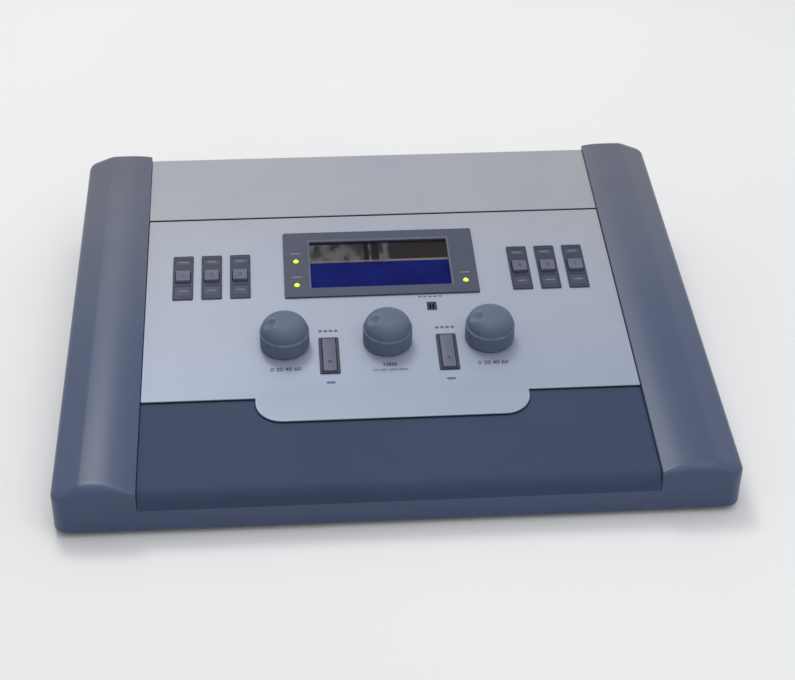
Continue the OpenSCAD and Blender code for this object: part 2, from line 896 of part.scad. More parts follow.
module lcd_cell() {
    side = lcd_over - lcd_frame_t - 0.2;
    color("#1a1f66")
        face_block(0, strip_l + bezel_mid_p, screen_w + 2*side, screen_l + 2*side,
            -screen_board_h, -bezel_deep - lcd_frame_t);
}

module display_board() {
    s = strip_l + display_board_p + display_board_l/2;
    color(board_green)
    difference() {
        face_block(0, s, display_board_w, display_board_l, -screen_board_h - board_t, -screen_board_h);
        for (p = display_boss_places)
            face_rod(p[0], p[1], short_d + 0.4, -far, 0);
    }
}

// Each light is a dome on a small collar, with two legs down to the board
module status_lights() {
    collar_h = 1;
    dome_r = light_d/2;
    body_h = bezel_t + light_proud + bezel_deep - dome_r;
    leg_w = 0.6;
    legs = screen_board_h - bezel_deep - collar_h;
    color("#d2e04a")
    for (p = light_places)
        on_face(p[0], strip_l + bezel_p + p[1], -bezel_deep - collar_h) {
            cylinder(d = light_d + 0.8, h = collar_h - 0.1);
            rotate_extrude()
                polygon(concat([[0, 0], [dome_r, 0]],
                    arc(0, collar_h + body_h, dome_r, 0, 90, arc_n)));
            for (i = [-1, 1])
                translate([i*dome_r/1.5, 0, -legs])
                    block(leg_w, leg_w, legs + overlap);
        }
}

// Keys

module key_frame(i) {
    s = strip_l + key_p;
    well_w = frame_w - 2*well_side;
    color(dark_trim)
    difference() {
        union() {
            face_block(key_xs[i], s, frame_w, frame_l, 0, frame_t);
            face_block(key_xs[i], s, frame_w - 2*frame_lip - 0.3, frame_l - 2*frame_lip - 0.3,
                -key_frame_deep, overlap);
        }
        face_block(key_xs[i], s, key_w + 2*fit_gap, key_l + 2*fit_gap, -far, far);
        for (w = wells)
            face_block(key_xs[i], s + w[0], well_w, w[1], frame_t - well_deep, far);
    }
}

// The cap has bevelled edges, a collar that holds it in, and a stem
module key(i) {
    bevel = 0.7;
    skirt = -key_frame_deep - 0.1;
    cap = key_h - skirt;
    on_face(key_xs[i], strip_l + key_p, skirt)
    color(key_grey) {
        intersection() {
            rotate([90, 0, 0])
                translate([0, 0, -key_l/2])
                    linear_extrude(key_l)
                        polygon(capped(key_w/2, cap, bevel));
            rotate([90, 0, 90])
                translate([0, 0, -key_w/2])
                    linear_extrude(key_w)
                        polygon(capped(key_l/2, cap, bevel));
        }
        translate([0, 0, -collar_t])
            block(key_w + 2*collar_over, key_l + 2*collar_over, collar_t);
        translate([0, 0, stem_tip - skirt])
            block(stem_w, stem_w, skirt - stem_tip);
    }
}

// Outline of half width w and height t, with its upper corners bevelled
function capped(w, t, bevel) =
    [[-w, -collar_t/2], [w, -collar_t/2], [w, t - bevel], [w - bevel, t], [bevel - w, t], [-w, t - bevel]];

module key_switches() {
    places = concat([for (x = key_xs) [x, key_p]], [for (i = [-1, 1]) [i*bar_x, bar_switch_p]]);
    color(black)
    for (p = places)
        difference() {
            face_block(p[0], strip_l + p[1], switch_body_w, switch_body_w, -board_h, switch_top);
            face_block(p[0], strip_l + p[1], stem_hole_w, stem_hole_w, stem_hole_bottom, 0);
        }
}

module key_board(side) {
    color(board_green)
    difference() {
        face_block(side*key_board_x, strip_l + key_board_p + key_board_l/2, key_board_w, key_board_l,
            -board_h - board_t, -board_h);
        for (p = key_boss_places)
            face_rod(p[0], p[1], short_d + 0.4, -far, 0);
    }
}

// Bars

module bar_frame(side) {
    s = strip_l + bar_p;
    color(dark_trim)
    difference() {
        union() {
            face_block(side*bar_x, s, bar_frame_w, bar_frame_l, 0, bar_frame_t);
            face_block(side*bar_x, s, bar_frame_w - 2*frame_lip - 0.3, bar_frame_l - 2*frame_lip - 0.3,
                -bar_frame_deep, overlap);
        }
        face_block(side*bar_x, s, bar_w + 2*fit_gap, bar_l + 1, -far, far);
        on_face(side*bar_x, strip_l + bar_pin_p, bar_pin_h)
            rotate([0, 90, 0])
                cylinder(d = pin_d + 2*pin_gap, h = bar_frame_w, center = true);
    }
}

module bar(side) {
    bevel = 0.6;
    foot = bar_h - bar_t - bar_pin_h;
    color(key_grey)
    on_face(side*bar_x, strip_l + bar_pin_p, bar_pin_h)
    difference() {
        union() {
            translate([-bar_w/2, bar_pin_p - bar_p - bar_l/2, foot])
                intersection() {
                    cube([bar_w, bar_l, bar_t]);
                    translate([bar_w/2, bar_l, 0])
                        rotate([90, 0, 0])
                            linear_extrude(bar_l)
                                polygon(capped(bar_w/2, bar_t, bevel));
                }
            rotate([0, 90, 0])
                cylinder(d = hub_d, h = bar_w, center = true);
            translate([0, bar_pin_p - bar_switch_p, stem_tip - bar_pin_h])
                block(bar_stem_w, bar_stem_w, foot + overlap - stem_tip + bar_pin_h);
        }
        rotate([0, 90, 0])
            cylinder(d = pin_d + 2*run_gap, h = bar_frame_w, center = true);
    }
}

module bar_pins() {
    color(steel)
    for (i = [-1, 1])
        on_face(i*bar_x, strip_l + bar_pin_p, bar_pin_h)
            rotate([0, 90, 0])
                cylinder(d = pin_d, h = bar_frame_w - 2*frame_lip - 0.5, center = true);
}

// Knobs

module knob(i) {
    r = knob_d/2;
    r_top = r - knob_ledge;
    shoulder_r = knob_h - knob_side_h;
    sphere_r = (pow(dimple_d/2, 2) + pow(dimple_h, 2))/2/dimple_h;
    color(knob_grey)
    on_face(knob_xs[i], strip_l + knob_p, knob_gap)
    difference() {
        rotate_extrude()
            polygon(concat([[0, 0], [r, 0], [r, knob_side_h - knob_bevel], [r - knob_bevel, knob_side_h]],
                arc(r_top - shoulder_r, knob_side_h, shoulder_r, 0, 90, shoulder_n), [[0, knob_h]]));
        translate([0, 0, -1])
            cylinder(d = knob_recess_d, h = knob_recess_h + 1);
        cylinder(d = shaft_d + 2*pin_gap, h = shaft_top - knob_gap);
        translate([dimple_r*cos(dimple_a), dimple_r*sin(dimple_a), knob_h - dimple_h + sphere_r])
            sphere(r = sphere_r);
    }
}

module shaft(i) {
    color(steel)
        face_rod(knob_xs[i], strip_l + knob_p, shaft_d, shaft_bottom, shaft_top);
}

module encoder(i) {
    s = strip_l + knob_p;
    color("#6f7378")
    difference() {
        union() {
            face_block(knob_xs[i], s, encoder_w, encoder_w, -board_h, under_face);
            face_rod(knob_xs[i], s, bushing_d, under_face - overlap, bushing_h);
        }
        face_rod(knob_xs[i], s, shaft_d + 2*run_gap, shaft_bottom - 0.3, far);
    }
}

module encoder_nuts() {
    color(steel)
    for (x = knob_xs)
        on_face(x, strip_l + knob_p, 0)
            difference() {
                cylinder(d = encoder_nut_w/cos(30), h = encoder_nut_t, $fn = 6);
                translate([0, 0, -1])
                    cylinder(d = bushing_d + 2*pin_gap, h = encoder_nut_t + 2);
            }
}

module knob_board() {
    color(board_green)
    difference() {
        face_block(0, strip_l + knob_board_p + knob_board_l/2, knob_board_w, knob_board_l,
            -board_h - board_t, -board_h);
        for (p = knob_boss_places)
            face_rod(p[0], p[1], short_d + 0.4, -far, 0);
    }
}

// The microphone

module mic_cover() {
    slot_w = 0.9;
    slot_l = mic_l - 3;
    color(black)
    difference() {
        face_block(mic_x, strip_l + mic_p, mic_w - 0.2, mic_l - 0.2, under_face, -0.5);
        for (i = [-1, 1])
            face_block(mic_x + i*slot_w, strip_l + mic_p, slot_w, slot_l, -far, far);
    }
}

module mic_capsule() {
    capsule_d = 6;
    color(steel)
        face_rod(mic_x, strip_l + mic_p, capsule_d, -board_h, under_face - 0.2);
}

// The main board, with its chips, relays, capacitors and headers

module main_board() {
    top = main_z + board_t;
    sink = 0.2;
    board_y = main_y0 + main_l/2;
    color("#2c6244")
    difference() {
        union() {
            translate([0, board_y, main_z])
                block(main_w, main_l, board_t);
            for (c = board_chips)
                translate([c[0], board_y + c[1], top - sink])
                    block(c[2], c[3], c[4] + sink);
            for (c = board_cans)
                translate([c[0], board_y + c[1], top - sink])
                    cylinder(d = c[2], h = c[3] + sink);
        }
        for (p = main_screw_places)
            translate([p[0], p[1], main_z - 1])
                cylinder(d = short_d + 0.4, h = board_t + 2);
    }
}

// Flat cables, each one strip with a plug at both ends

module ribbon_cables() {
    strip_t = 1.2;
    plug_l = 5;
    plug_h = 5;
    under = -board_h - board_t;
    screen_under = -screen_board_h - board_t;
    low = under - plug_h;
    a = key_board_p + key_board_l - plug_l - 1;
    b = knob_board_p + 1;
    side_x = 83;
    side_w = 8;
    // From a key board to the knob board, as (p, h)
    side_path = [[a, under], [a + plug_l, under], [a + plug_l, low + strip_t], [b, low + strip_t],
        [b, under], [b + plug_l, under], [b + plug_l, low], [a, low]];
    // From the display board to the knob board
    c = display_board_p + display_board_l - plug_l - 1;
    step = screen_under - plug_h;
    screen_w0 = 24;
    screen_path = [[c, screen_under], [c + plug_l, screen_under], [c + plug_l, step + strip_t],
        [b - 5, step + strip_t], [b, low + strip_t], [b, under], [b + plug_l, under], [b + plug_l, low],
        [b, low], [b - 6, step], [c, step]];
    // From the knob board down to the main board, in (Y, Z)
    main_top = main_z + board_t;
    s0 = strip_l + knob_board_p + 14;
    y0 = surf_y(s0 + plug_l, under);
    main_w0 = 30;
    color("#8e939c") {
        for (x = [-side_x, side_x])
            face_strip(x, side_w)
                polygon([for (p = side_path) [-p[0], p[1]]]);
        face_strip(0, screen_w0)
            polygon([for (p = screen_path) [-p[0], p[1]]]);
        along_x(-main_w0/2 - 40, main_w0)
            polygon([
                [surf_y(s0, under), surf_z(s0, under)],
                [y0, surf_z(s0 + plug_l, under)],
                [y0, surf_z(s0 + plug_l, under) - plug_h],
                [y0 + strip_t, surf_z(s0 + plug_l, under) - plug_h],
                [y0 + strip_t, main_top + plug_h],
                [y0, main_top + plug_h],
                [y0, main_top],
                [y0 + plug_l, main_top],
                [y0 + plug_l, main_top + plug_h],
                [y0 + 2*strip_t, main_top + plug_h],
                [y0 + 2*strip_t, surf_z(s0, under) - plug_h],
                [surf_y(s0, under), surf_z(s0, under) - plug_h]]);
    }
}

// Extrudes a (-p, h) outline across the faceplate, centred on x
module face_strip(x, w) {
    on_face(x - w/2, strip_l, 0)
        rotate([90, 0, 90])
            linear_extrude(w)
                children();
}

module short_screws() {
    color(steel) {
        for (p = face_screw_places)
            on_face(p[0], p[1], ledge_h)
                short_screw();
        for (p = concat(key_boss_places, knob_boss_places))
            on_face(p[0], p[1], -board_h - board_t)
                short_screw();
        for (p = display_boss_places)
            on_face(p[0], p[1], -screen_board_h - board_t)
                short_screw();
        for (p = main_screw_places)
            translate([p[0], p[1], main_z + board_t])
                mirror([0, 0, 1])
                    short_screw();
        for (x = rear_screw_x)
            translate([x, rear_screw_y, parting_h + wall])
                mirror([0, 0, 1])
                    short_screw();
    }
}

bottom_case();
feet();
left_cheek();
right_cheek();
front_strip();
control_panel();
rear_strip();
rear_panel();
display_bezel();
display_window();
lcd_frame();
lcd_cell();
display_board();
status_lights();
for (i = [1:6]) {
    key_frame(i - 1);
    key(i - 1);
}
key_board(-1);  // left_key_board
key_board(1);  // right_key_board
key_switches();
bar_frame(-1);  // left_bar_frame
bar_frame(1);  // right_bar_frame
bar(-1);  // left_bar
bar(1);  // right_bar
bar_pins();
knob(0);  // left_knob
knob(1);  // centre_knob
knob(2);  // right_knob
shaft(0);  // left_shaft
shaft(1);  // centre_shaft
shaft(2);  // right_shaft
encoder(0);  // left_encoder
encoder(1);  // centre_encoder
encoder(2);  // right_encoder
encoder_nuts();
knob_board();
mic_cover();
mic_capsule();
main_board();
jack(0);  // right_phone_jack
jack(1);  // left_phone_jack
jack(2);  // bone_jack
jack(3);  // response_jack
jack_nuts();
power_inlet();
power_switch_frame();
power_rocker();
ribbon_cables();
case_screws();
short_screws();
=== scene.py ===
# %% [markdown]
# # A desktop audiometer console
#
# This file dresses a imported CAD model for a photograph-like picture. The console is a
# flat wedge: two dark cheeks with arched tops hold a silver faceplate, on which sit a
# display, three status lights, six keys, two bars, three knobs and a small microphone.
#
# The CAD model gives every place and size. Here each part that shows gets a finer
# surface, worked out with numpy, and a finish made of shader nodes.

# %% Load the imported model
import json
from math import atan, cos, radians, sin, tan

import bmesh
import bpy
import numpy as np
from mathutils import Matrix, Vector
from mathutils.geometry import tessellate_polygon


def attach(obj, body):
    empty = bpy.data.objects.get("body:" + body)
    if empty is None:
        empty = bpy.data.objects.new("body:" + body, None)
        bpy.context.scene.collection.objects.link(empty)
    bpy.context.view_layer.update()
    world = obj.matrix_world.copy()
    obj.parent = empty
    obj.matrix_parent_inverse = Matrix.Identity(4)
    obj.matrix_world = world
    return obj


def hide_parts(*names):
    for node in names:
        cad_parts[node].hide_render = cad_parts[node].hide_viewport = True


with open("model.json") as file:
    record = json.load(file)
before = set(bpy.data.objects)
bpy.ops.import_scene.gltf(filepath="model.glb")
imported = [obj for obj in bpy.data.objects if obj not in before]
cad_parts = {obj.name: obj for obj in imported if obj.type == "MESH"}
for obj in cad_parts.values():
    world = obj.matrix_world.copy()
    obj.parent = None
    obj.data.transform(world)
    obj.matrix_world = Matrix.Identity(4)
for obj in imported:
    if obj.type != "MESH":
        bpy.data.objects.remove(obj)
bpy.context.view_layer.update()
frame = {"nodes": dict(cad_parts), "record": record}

# %% [markdown]
# ## Measures
#
# Lengths are in millimetres, as on the drawing, and become metres only when a point is
# placed. A place on the faceplate is (x, s, h): x across, s down the slope from the rear
# edge, h square to the faceplate. Most pieces are drawn flat in (x, s) and placed by
# `on_face`, so nobody has to think about the slope again.

# %% Measures and places
MM = 0.001
CASE_D, REAR_W, FRONT_W = 295.0, 360.0, 370.0
REAR_H, FRONT_H, PARTING_H, FOOT_H = 61.0, 28.0, 17.0, 4.0
STRIP_L, PANEL_L, SEAM, FACE_W, FACE_T = 65.0, 161.5, 1.4, 279.4, 3.0
FACE_END = STRIP_L + PANEL_L
BEZEL_W, BEZEL_L, OPENING_W, OPENING_L = 116.0, 60.4, 84.0, 43.4
BEZEL_REAR = STRIP_L + 17.4
BEZEL_S = BEZEL_REAR + BEZEL_L/2
CHEEK_X = FACE_W/2 + 0.3
SLOPE = atan((REAR_H - FRONT_H)/CASE_D)


def on_face(x, s, h):
    """Points on the faceplate: s goes down the slope and h stands square to it."""
    x, s, h = np.broadcast_arrays(x, s, h)
    y = CASE_D/2 - s*cos(SLOPE) - h*sin(SLOPE)
    z = REAR_H - s*sin(SLOPE) + h*cos(SLOPE)
    return np.stack([x, y, z], -1)*MM


def upright(x, y, z):
    """Points in the case's own upright frame."""
    return np.stack(np.broadcast_arrays(x, y, z), -1)*MM


def face_height(y, h):
    """Height above the ground of the plane that lies h above the faceplate, at depth y."""
    return REAR_H + (y - CASE_D/2)*tan(SLOPE) + h/cos(SLOPE)


print("slope of the faceplate: %.2f degrees" % np.degrees(SLOPE))

# %% [markdown]
# ## Surfaces from arrays
#
# Three shapes make nearly everything here. A *grid* joins rows of points with quads. A
# *slab* is a plate with holes: each edge loop is carried up through a list of levels, as
# a cook stacks rings of dough, and flat faces close the top and the bottom. A *turned*
# piece spins a profile round an axis. Each returns points and faces, and `piece` turns a
# few of them into one object: it joins what touches, points the faces outwards, and
# weighs the normals so that a flat face stays flat beside its rounded edge.

# %% Grids, loops and slabs
def grid(points, wrap=False):
    """Quads between the rows of an array (rows, columns, 3).

    With wrap, the last column meets the first."""
    rows, columns = points.shape[:2]
    index = np.arange(rows*columns).reshape(rows, columns)
    if wrap:
        index = np.concatenate([index, index[:, :1]], 1)
    quads = np.stack([index[:-1, :-1], index[:-1, 1:], index[1:, 1:], index[1:, :-1]], -1)
    return points.reshape(-1, 3), quads.reshape(-1, 4).tolist()


def stack(rings, lids=(True, True)):
    """Closed loops (levels, n, 3) joined by quads, with a flat face at each end that has a lid."""
    points, faces = grid(rings, wrap=True)
    n = rings.shape[1]
    first, last = list(range(n)), list(range(len(points) - n, len(points)))
    return points, faces + [loop for loop, lid in zip((first, last), lids) if lid]


def rounded(w, l, r, x=0.0, s=0.0, steps=5):
    """A rectangle w by l round (x, s) whose corners are quarter circles of radius r.

    An inset moves its whole edge inwards."""
    a = np.radians(np.linspace(0, 90, steps + 1))

    def loop(inset=0.0):
        k = max(r - inset, 0.02)
        quarter = np.stack([np.cos(a), np.sin(a)], -1)*k + [w/2 - inset - k, l/2 - inset - k]
        corners = [quarter, quarter[::-1]*[-1, 1], -quarter, quarter[::-1]*[1, -1]]
        return np.concatenate(corners) + [x, s]
    return loop


def disc(d, x=0.0, s=0.0, steps=32):
    """A circle of diameter d round (x, s)."""
    a = np.linspace(0, 2*np.pi, steps, endpoint=False)
    return lambda inset=0.0: np.stack([np.cos(a), np.sin(a)], -1)*(d/2 - inset) + [x, s]


def fillet(r, top, support=0.8, steps=4):
    """Levels (inset, height) of a rounded upper edge, then a ring on the flat.

    The inset is r(1 - cos a) and the height is top - r + r sin a."""
    a = np.radians(np.linspace(0, 90, steps + 1))
    return [(r - r*cos(t), top - r + r*sin(t)) for t in a] + [(r + support, top)]


def hole(levels):
    """The same levels for a hole, whose edge draws back outwards."""
    return [(-inset, h) for inset, h in levels]


def carried(loop, levels, place=on_face):
    """One ring of the loop for each (inset, height) level."""
    return np.stack([place(*loop(inset).T, h) for inset, h in levels])


def slab(*edges, place=on_face):
    """A plate. Each edge is a loop and its levels.

    The first edge is the outline and the others are holes, whose insets are negative
    outwards. An edge that starts above the bottom is a well with a floor."""
    bottom, parts = edges[0][1][0][1], []
    for loop, levels in edges:
        parts.append(stack(carried(loop, levels, place), lids=(levels[0][1] > bottom, False)))
    for end in (0, -1):
        loops = [loop(levels[end][0]) for loop, levels in edges if end or levels[0][1] <= bottom]
        flat = np.concatenate(loops)
        faces = tessellate_polygon([[Vector((x, s, 0)) for x, s in loop] for loop in loops])
        parts.append((place(*flat.T, edges[0][1][end][1]), [list(f) for f in faces]))
    return parts


def turned(profile, x=0.0, s=0.0, steps=64, place=on_face):
    """A profile of (radius, height) spun round the axis through (x, s)."""
    a = np.linspace(0, 2*np.pi, steps, endpoint=False)
    r, h = np.array(profile).T[:, :, None]
    return stack(place(x + r*np.cos(a), s + r*np.sin(a), h + 0*a))


# %% One object from several parts
RIM_BEND = 0.5    # a vertex counts as fully on a rim where a neighbour's normal differs by this
WELD, CAD_WELD, SAME_PLANE = 1e-7, 1e-6, radians(0.4)


def finished(name, mesh, finish, body, stands_for, crease, rim_strength=1.0):
    """Smooths the mesh, marks its sharp edges and its rims, which finishes lighten as wear and as a
    painted highlight, and sets it on its body.
    """
    mesh.shade_smooth()
    mesh.set_sharp_from_angle(angle=radians(crease))
    mesh.materials.clear()
    mesh.materials.append(finish.material)
    rim = np.zeros(len(mesh.vertices))
    edges = np.array([e.vertices[:] for e in mesh.edges])
    normals = np.array([v.normal for v in mesh.vertices])
    bend = np.linalg.norm(normals[edges[:, 0]] - normals[edges[:, 1]], axis=1)
    np.maximum.at(rim, edges.ravel(), np.repeat(bend, 2))
    values = np.clip(rim/RIM_BEND, 0, 1)*rim_strength
    mesh.attributes.new("rim", "FLOAT", "POINT").data.foreach_set("value", values)
    obj = bpy.data.objects.new(name, mesh)
    bpy.context.scene.collection.objects.link(obj)
    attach(obj, body)
    if stands_for:
        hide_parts(*stands_for)
    return obj


def weigh_normals(obj):
    """Large flat faces set the normals along their edges."""
    obj.modifiers.new("weighted normals", "WEIGHTED_NORMAL").keep_sharp = True
    return obj


def piece(name, parts, finish, body="console", stands_for=(), crease=40):
    """One object from lists of points and faces."""
    points, faces, start = [], [], 0
    for part_points, part_faces in parts:
        points.append(part_points)
        faces += [[start + i for i in face] for face in part_faces]
        start += len(part_points)
    mesh = bpy.data.meshes.new(name)
    mesh.from_pydata(np.concatenate(points).tolist(), [], faces)
    work = bmesh.new()
    work.from_mesh(mesh)
    bmesh.ops.remove_doubles(work, verts=work.verts, dist=WELD)
    bmesh.ops.recalc_face_normals(work, faces=work.faces)
    work.to_mesh(mesh)
    work.free()
    return weigh_normals(finished(name, mesh, finish, body, stands_for, crease))


def softened(node, name, finish, width=0.25, crease=35, body="console"):
    """A copy of a CAD node with its triangles merged back into flat faces and its edges rounded."""
    mesh = frame["nodes"][node].data.copy()
    work = bmesh.new()
    work.from_mesh(mesh)
    bmesh.ops.remove_doubles(work, verts=work.verts, dist=CAD_WELD)
    bmesh.ops.dissolve_limit(work, angle_limit=SAME_PLANE, verts=work.verts, edges=work.edges)
    work.to_mesh(mesh)
    work.free()
    obj = finished(name, mesh, finish, body, [node], crease, rim_strength=0.0)
    bevel = obj.modifiers.new("soft edges", "BEVEL")
    bevel.width, bevel.segments, bevel.limit_method = width*MM, 2, "ANGLE"
    bevel.angle_limit = radians(crease)
    return weigh_normals(obj)


# %% [markdown]
# ## Shader maths in plain expressions
#
# A finish is a tree of nodes. `Wire` wraps one socket, so that `1 - mask*0.3` adds its own
# Math nodes, and `Finish.node` adds any other node. Patterns read Object coordinates: the
# pieces sit at the origin, so a grain stays fixed to its piece and runs on across a seam.

# %% Wires
class Wire:
    """One output of a node. Arithmetic on it adds Math nodes."""

    def __init__(self, finish, socket):
        self.finish, self.socket = finish, socket

    def math(self, operation, *values):
        return self.finish.node("ShaderNodeMath", {"operation": operation}, dict(enumerate(values)))

    def __add__(self, other): return self.math("ADD", self, other)
    def __sub__(self, other): return self.math("SUBTRACT", self, other)
    def __rsub__(self, other): return self.math("SUBTRACT", other, self)
    def __mul__(self, other): return self.math("MULTIPLY", self, other)
    def __truediv__(self, other): return self.math("DIVIDE", self, other)
    def __gt__(self, other): return self.math("GREATER_THAN", self, other)
    def __lt__(self, other): return self.math("LESS_THAN", self, other)
    def __abs__(self): return self.math("ABSOLUTE", self)
    __radd__, __rmul__ = __add__, __mul__

    def larger(self, other):
        return self.math("MAXIMUM", self, other)

    def clipped(self, low, high):
        """0 below low, 1 above high, and a soft step between."""
        return self.finish.node("ShaderNodeMapRange", {"interpolation_type": "SMOOTHSTEP"},
                                {"Value": self, "From Min": low, "From Max": high})


def colour(r, g, b):
    """An sRGB colour in 0 to 255 as the linear values that a shader takes."""
    c = np.array([r, g, b])/255
    return (*np.where(c > 0.04045, ((c + 0.055)/1.055)**2.4, c/12.92), 1.0)


def shade(c, k):
    """A colour made lighter or darker by the factor k."""
    return (*[min(v*k, 1.0) for v in c[:3]], 1.0)


# %% Finishes as node trees
class Finish:
    """A material with one Principled shader; fixed values are set on the shader's own sockets."""

    def __init__(self, name, **fixed):
        self.material = bpy.data.materials.new(name)
        self.material.use_nodes = True
        self.nodes = self.material.node_tree.nodes
        self.shader = self.nodes["Principled BSDF"]
        self.place = self.node("ShaderNodeTexCoord", output="Object")
        self.set(**fixed)

    def set(self, **sockets):
        for name, value in sockets.items():
            self.plug(self.shader.inputs[name.replace("_", " ")], value)
        return self

    def plug(self, socket, value):
        if isinstance(value, Wire):
            self.material.node_tree.links.new(value.socket, socket)
        else:
            socket.default_value = value

    def node(self, kind, settings=(), inputs=(), output=0):
        made = self.nodes.new(kind)
        for name, value in dict(settings).items():
            setattr(made, name, value)
        for name, value in dict(inputs).items():
            self.plug(made.inputs[name], value)
        return Wire(self, made.outputs[output])

    def noise(self, size, detail=2.0, stretch=(1, 1, 1)):
        """Cloudy noise from 0 to 1 whose patches are about size millimetres across."""
        where = self.node("ShaderNodeVectorMath", {"operation": "MULTIPLY"},
                          {0: self.place, 1: stretch})
        return self.node("ShaderNodeTexNoise", {},
                         {"Vector": where, "Scale": 1/(size*MM), "Detail": detail})

    def mix(self, amount, a, b):
        """From colour a to colour b."""
        return self.node("ShaderNodeMix", {"data_type": "RGBA"}, {0: amount, 6: a, 7: b}, output=2)

    def over(self, amount, c):
        """Lays the colour c over the base colour."""
        base = self.shader.inputs["Base Color"].links[0].from_socket
        return self.set(Base_Color=self.mix(amount, Wire(self, base), c))

    def axis(self, name):
        """One Object coordinate, in metres."""
        return self.node("ShaderNodeSeparateXYZ", {}, {0: self.place}, output=name)

    def forward(self, start, length):
        """0 behind the depth start and 1 a length further to the front, both in metres."""
        return ((start - self.axis("Y"))/length).clipped(0.0, 1.0)

    def rim(self):
        """1 along the rims of a piece, where wear and painted highlights go, 0 on its flats."""
        return self.node("ShaderNodeAttribute", {"attribute_name": "rim"}, output="Fac")

    def bump(self, height, depth, strength=1.0):
        """Relief of depth millimetres where height goes from 0 to 1."""
        return self.node("ShaderNodeBump", {},
                         {"Height": height, "Distance": depth*MM, "Strength": strength})


# %% [markdown]
# ## Finishes
#
# Moulded plastic is never one flat colour. Its tone drifts slowly over the part, a fine
# spark-eroded texture breaks up the highlight, and the rims are a little lighter and
# smoother: wear where hands touch, and on the knobs also a painted highlight. `moulded`
# builds that once, and the finishes below differ in their colours, grain and gloss. The
# faceplate is a silver lacquer: its flakes are a very fine noise in the colour, over a
# faint orange-peel relief. Its colour also carries painted light: a bluish reflection
# towards the front, highlights on its rims and shade in its seams.

# %% Plastic
def moulded(name, c, rough=0.5, drift=0.06, grain=0.35, relief=0.02, rim_wear_and_highlight=0.25, shine=0.25):
    """Plastic: slow drift of tone, fine grain in tone and relief, rims lighter as wear and painted
    highlight, and smoother.
    """
    f = Finish(name, Specular_IOR_Level=shine)
    slow, fine, rim = f.noise(60, 2), f.noise(grain, 3), f.rim()
    tone = f.mix(slow.clipped(0.3, 0.7), shade(c, 1 - drift), shade(c, 1 + drift))
    tone = f.mix(fine.clipped(0.35, 0.65)*0.5, tone, shade(c, 1 - drift*1.5))
    # Lighter rims: wear, and where the weight is high, as on the knobs, a painted highlight.
    tone = f.mix(rim*rim_wear_and_highlight*f.noise(4, 3).clipped(0.3, 0.7), tone, shade(c, 1.55))
    roughness = rough + 0.08*(fine - 0.5) + 0.06*(slow - 0.5) - 0.12*rim*rim_wear_and_highlight
    return f.set(Base_Color=tone, Roughness=roughness, Normal=f.bump(fine, relief))


def body_paint(name, c, painted_front_shade):
    """The dark shell: as moulded plastic, glossier, with a painted shade that makes it darker and
    bluer towards the front.
    """
    f = moulded(name, c, rough=0.34, drift=0.07, grain=0.5, relief=0.015, rim_wear_and_highlight=0.3, shine=0.35)
    # Painted shade: towards the front the colour goes over to the darker, bluer second colour.
    return f.over(f.forward(0.13, 0.2)*0.9, painted_front_shade)


def display_trim(name, c, edge):
    """The display surround: plastic whose chamfer round the opening is lighter, a painted
    highlight.

    The chamfer is a band that ends a millimetre outside the opening's rectangle."""
    f = moulded(name, c, rough=0.42, grain=0.4)
    x, y, z = (f.axis(way)*1000 for way in "XYZ")
    s = (CASE_D/2 - y)*cos(SLOPE) + (REAR_H - z)*sin(SLOPE)
    out = (abs(x) - OPENING_W/2).larger(abs(s - BEZEL_S) - OPENING_L/2)
    # Painted highlight: the chamfer band takes the lighter edge colour.
    return f.over((out > 0.02)*(out < 0.95)*0.7, edge)


# %% Lacquer
# In metres: the depths between which the walls of a seam get a painted shade, and the rear edge
# that stays silver
SEAM_PAINTED_SHADE, REAR_EDGE = (0.0003, 0.0008), 0.006


def lacquer(name, rear, front):
    """Silver lacquer: flakes as fine noise, a bluer tone towards the front that is a painted
    reflection, faint orange peel.

    Below the faceplate's surface the walls of a seam get a painted shade, which is what
    makes a seam read as a dark line."""
    f = Finish(name, Metallic=0.12, Coat_Roughness=0.3, Specular_IOR_Level=0.3)
    # Painted reflection: the tone goes from the rear colour to the bluer front colour.
    tone = f.mix(f.forward(0.085, 0.16), rear, front)
    flakes = f.noise(0.45, 2)
    tone = f.mix(flakes.clipped(0.35, 0.75)*0.35, tone, shade(front, 1.16))
    tone = f.mix(f.noise(0.6, 1).clipped(0.5, 0.8)*0.25, tone, shade(rear, 0.80))
    tone = f.mix(f.noise(45, 3).clipped(0.35, 0.7)*0.35, tone, shade(front, 0.93))
    rim = f.rim()
    # Painted highlight: the rims, such as the panel's rear edge below the seam, are lighter.
    tone = f.mix(rim*0.35, tone, shade(front, 1.25))
    y, z = f.axis("Y"), f.axis("Z")
    depth = (REAR_H*MM - z)*cos(SLOPE) + (y - CASE_D/2*MM)*sin(SLOPE)
    # Painted shade: below the surface, in the seams, the colour goes dark.
    inside = (y < CASE_D/2*MM - REAR_EDGE)*depth.clipped(*SEAM_PAINTED_SHADE)
    tone = f.mix(inside*0.95, tone, colour(34, 36, 42))
    peel = f.noise(1.6, 2)
    return f.set(Base_Color=tone, Roughness=0.44 + 0.10*(flakes - 0.5) - 0.08*rim,
                 Coat_Weight=0.15, Normal=f.bump(peel*0.7 + flakes*0.3, 0.012))


# %% Metal, boards and cables
def plated(name, c, rough=0.28):
    """Plated steel: brushed along one axis, with a few dull spots."""
    f = Finish(name, Metallic=1.0)
    lines, spots = f.noise(0.8, 4, (1, 1, 12)), f.noise(3, 2)
    return f.set(Base_Color=f.mix(spots.clipped(0.45, 0.75)*0.5, c, shade(c, 0.8)),
                 Roughness=rough + 0.2*(lines - 0.5) + 0.1*spots, Normal=f.bump(lines, 0.01))


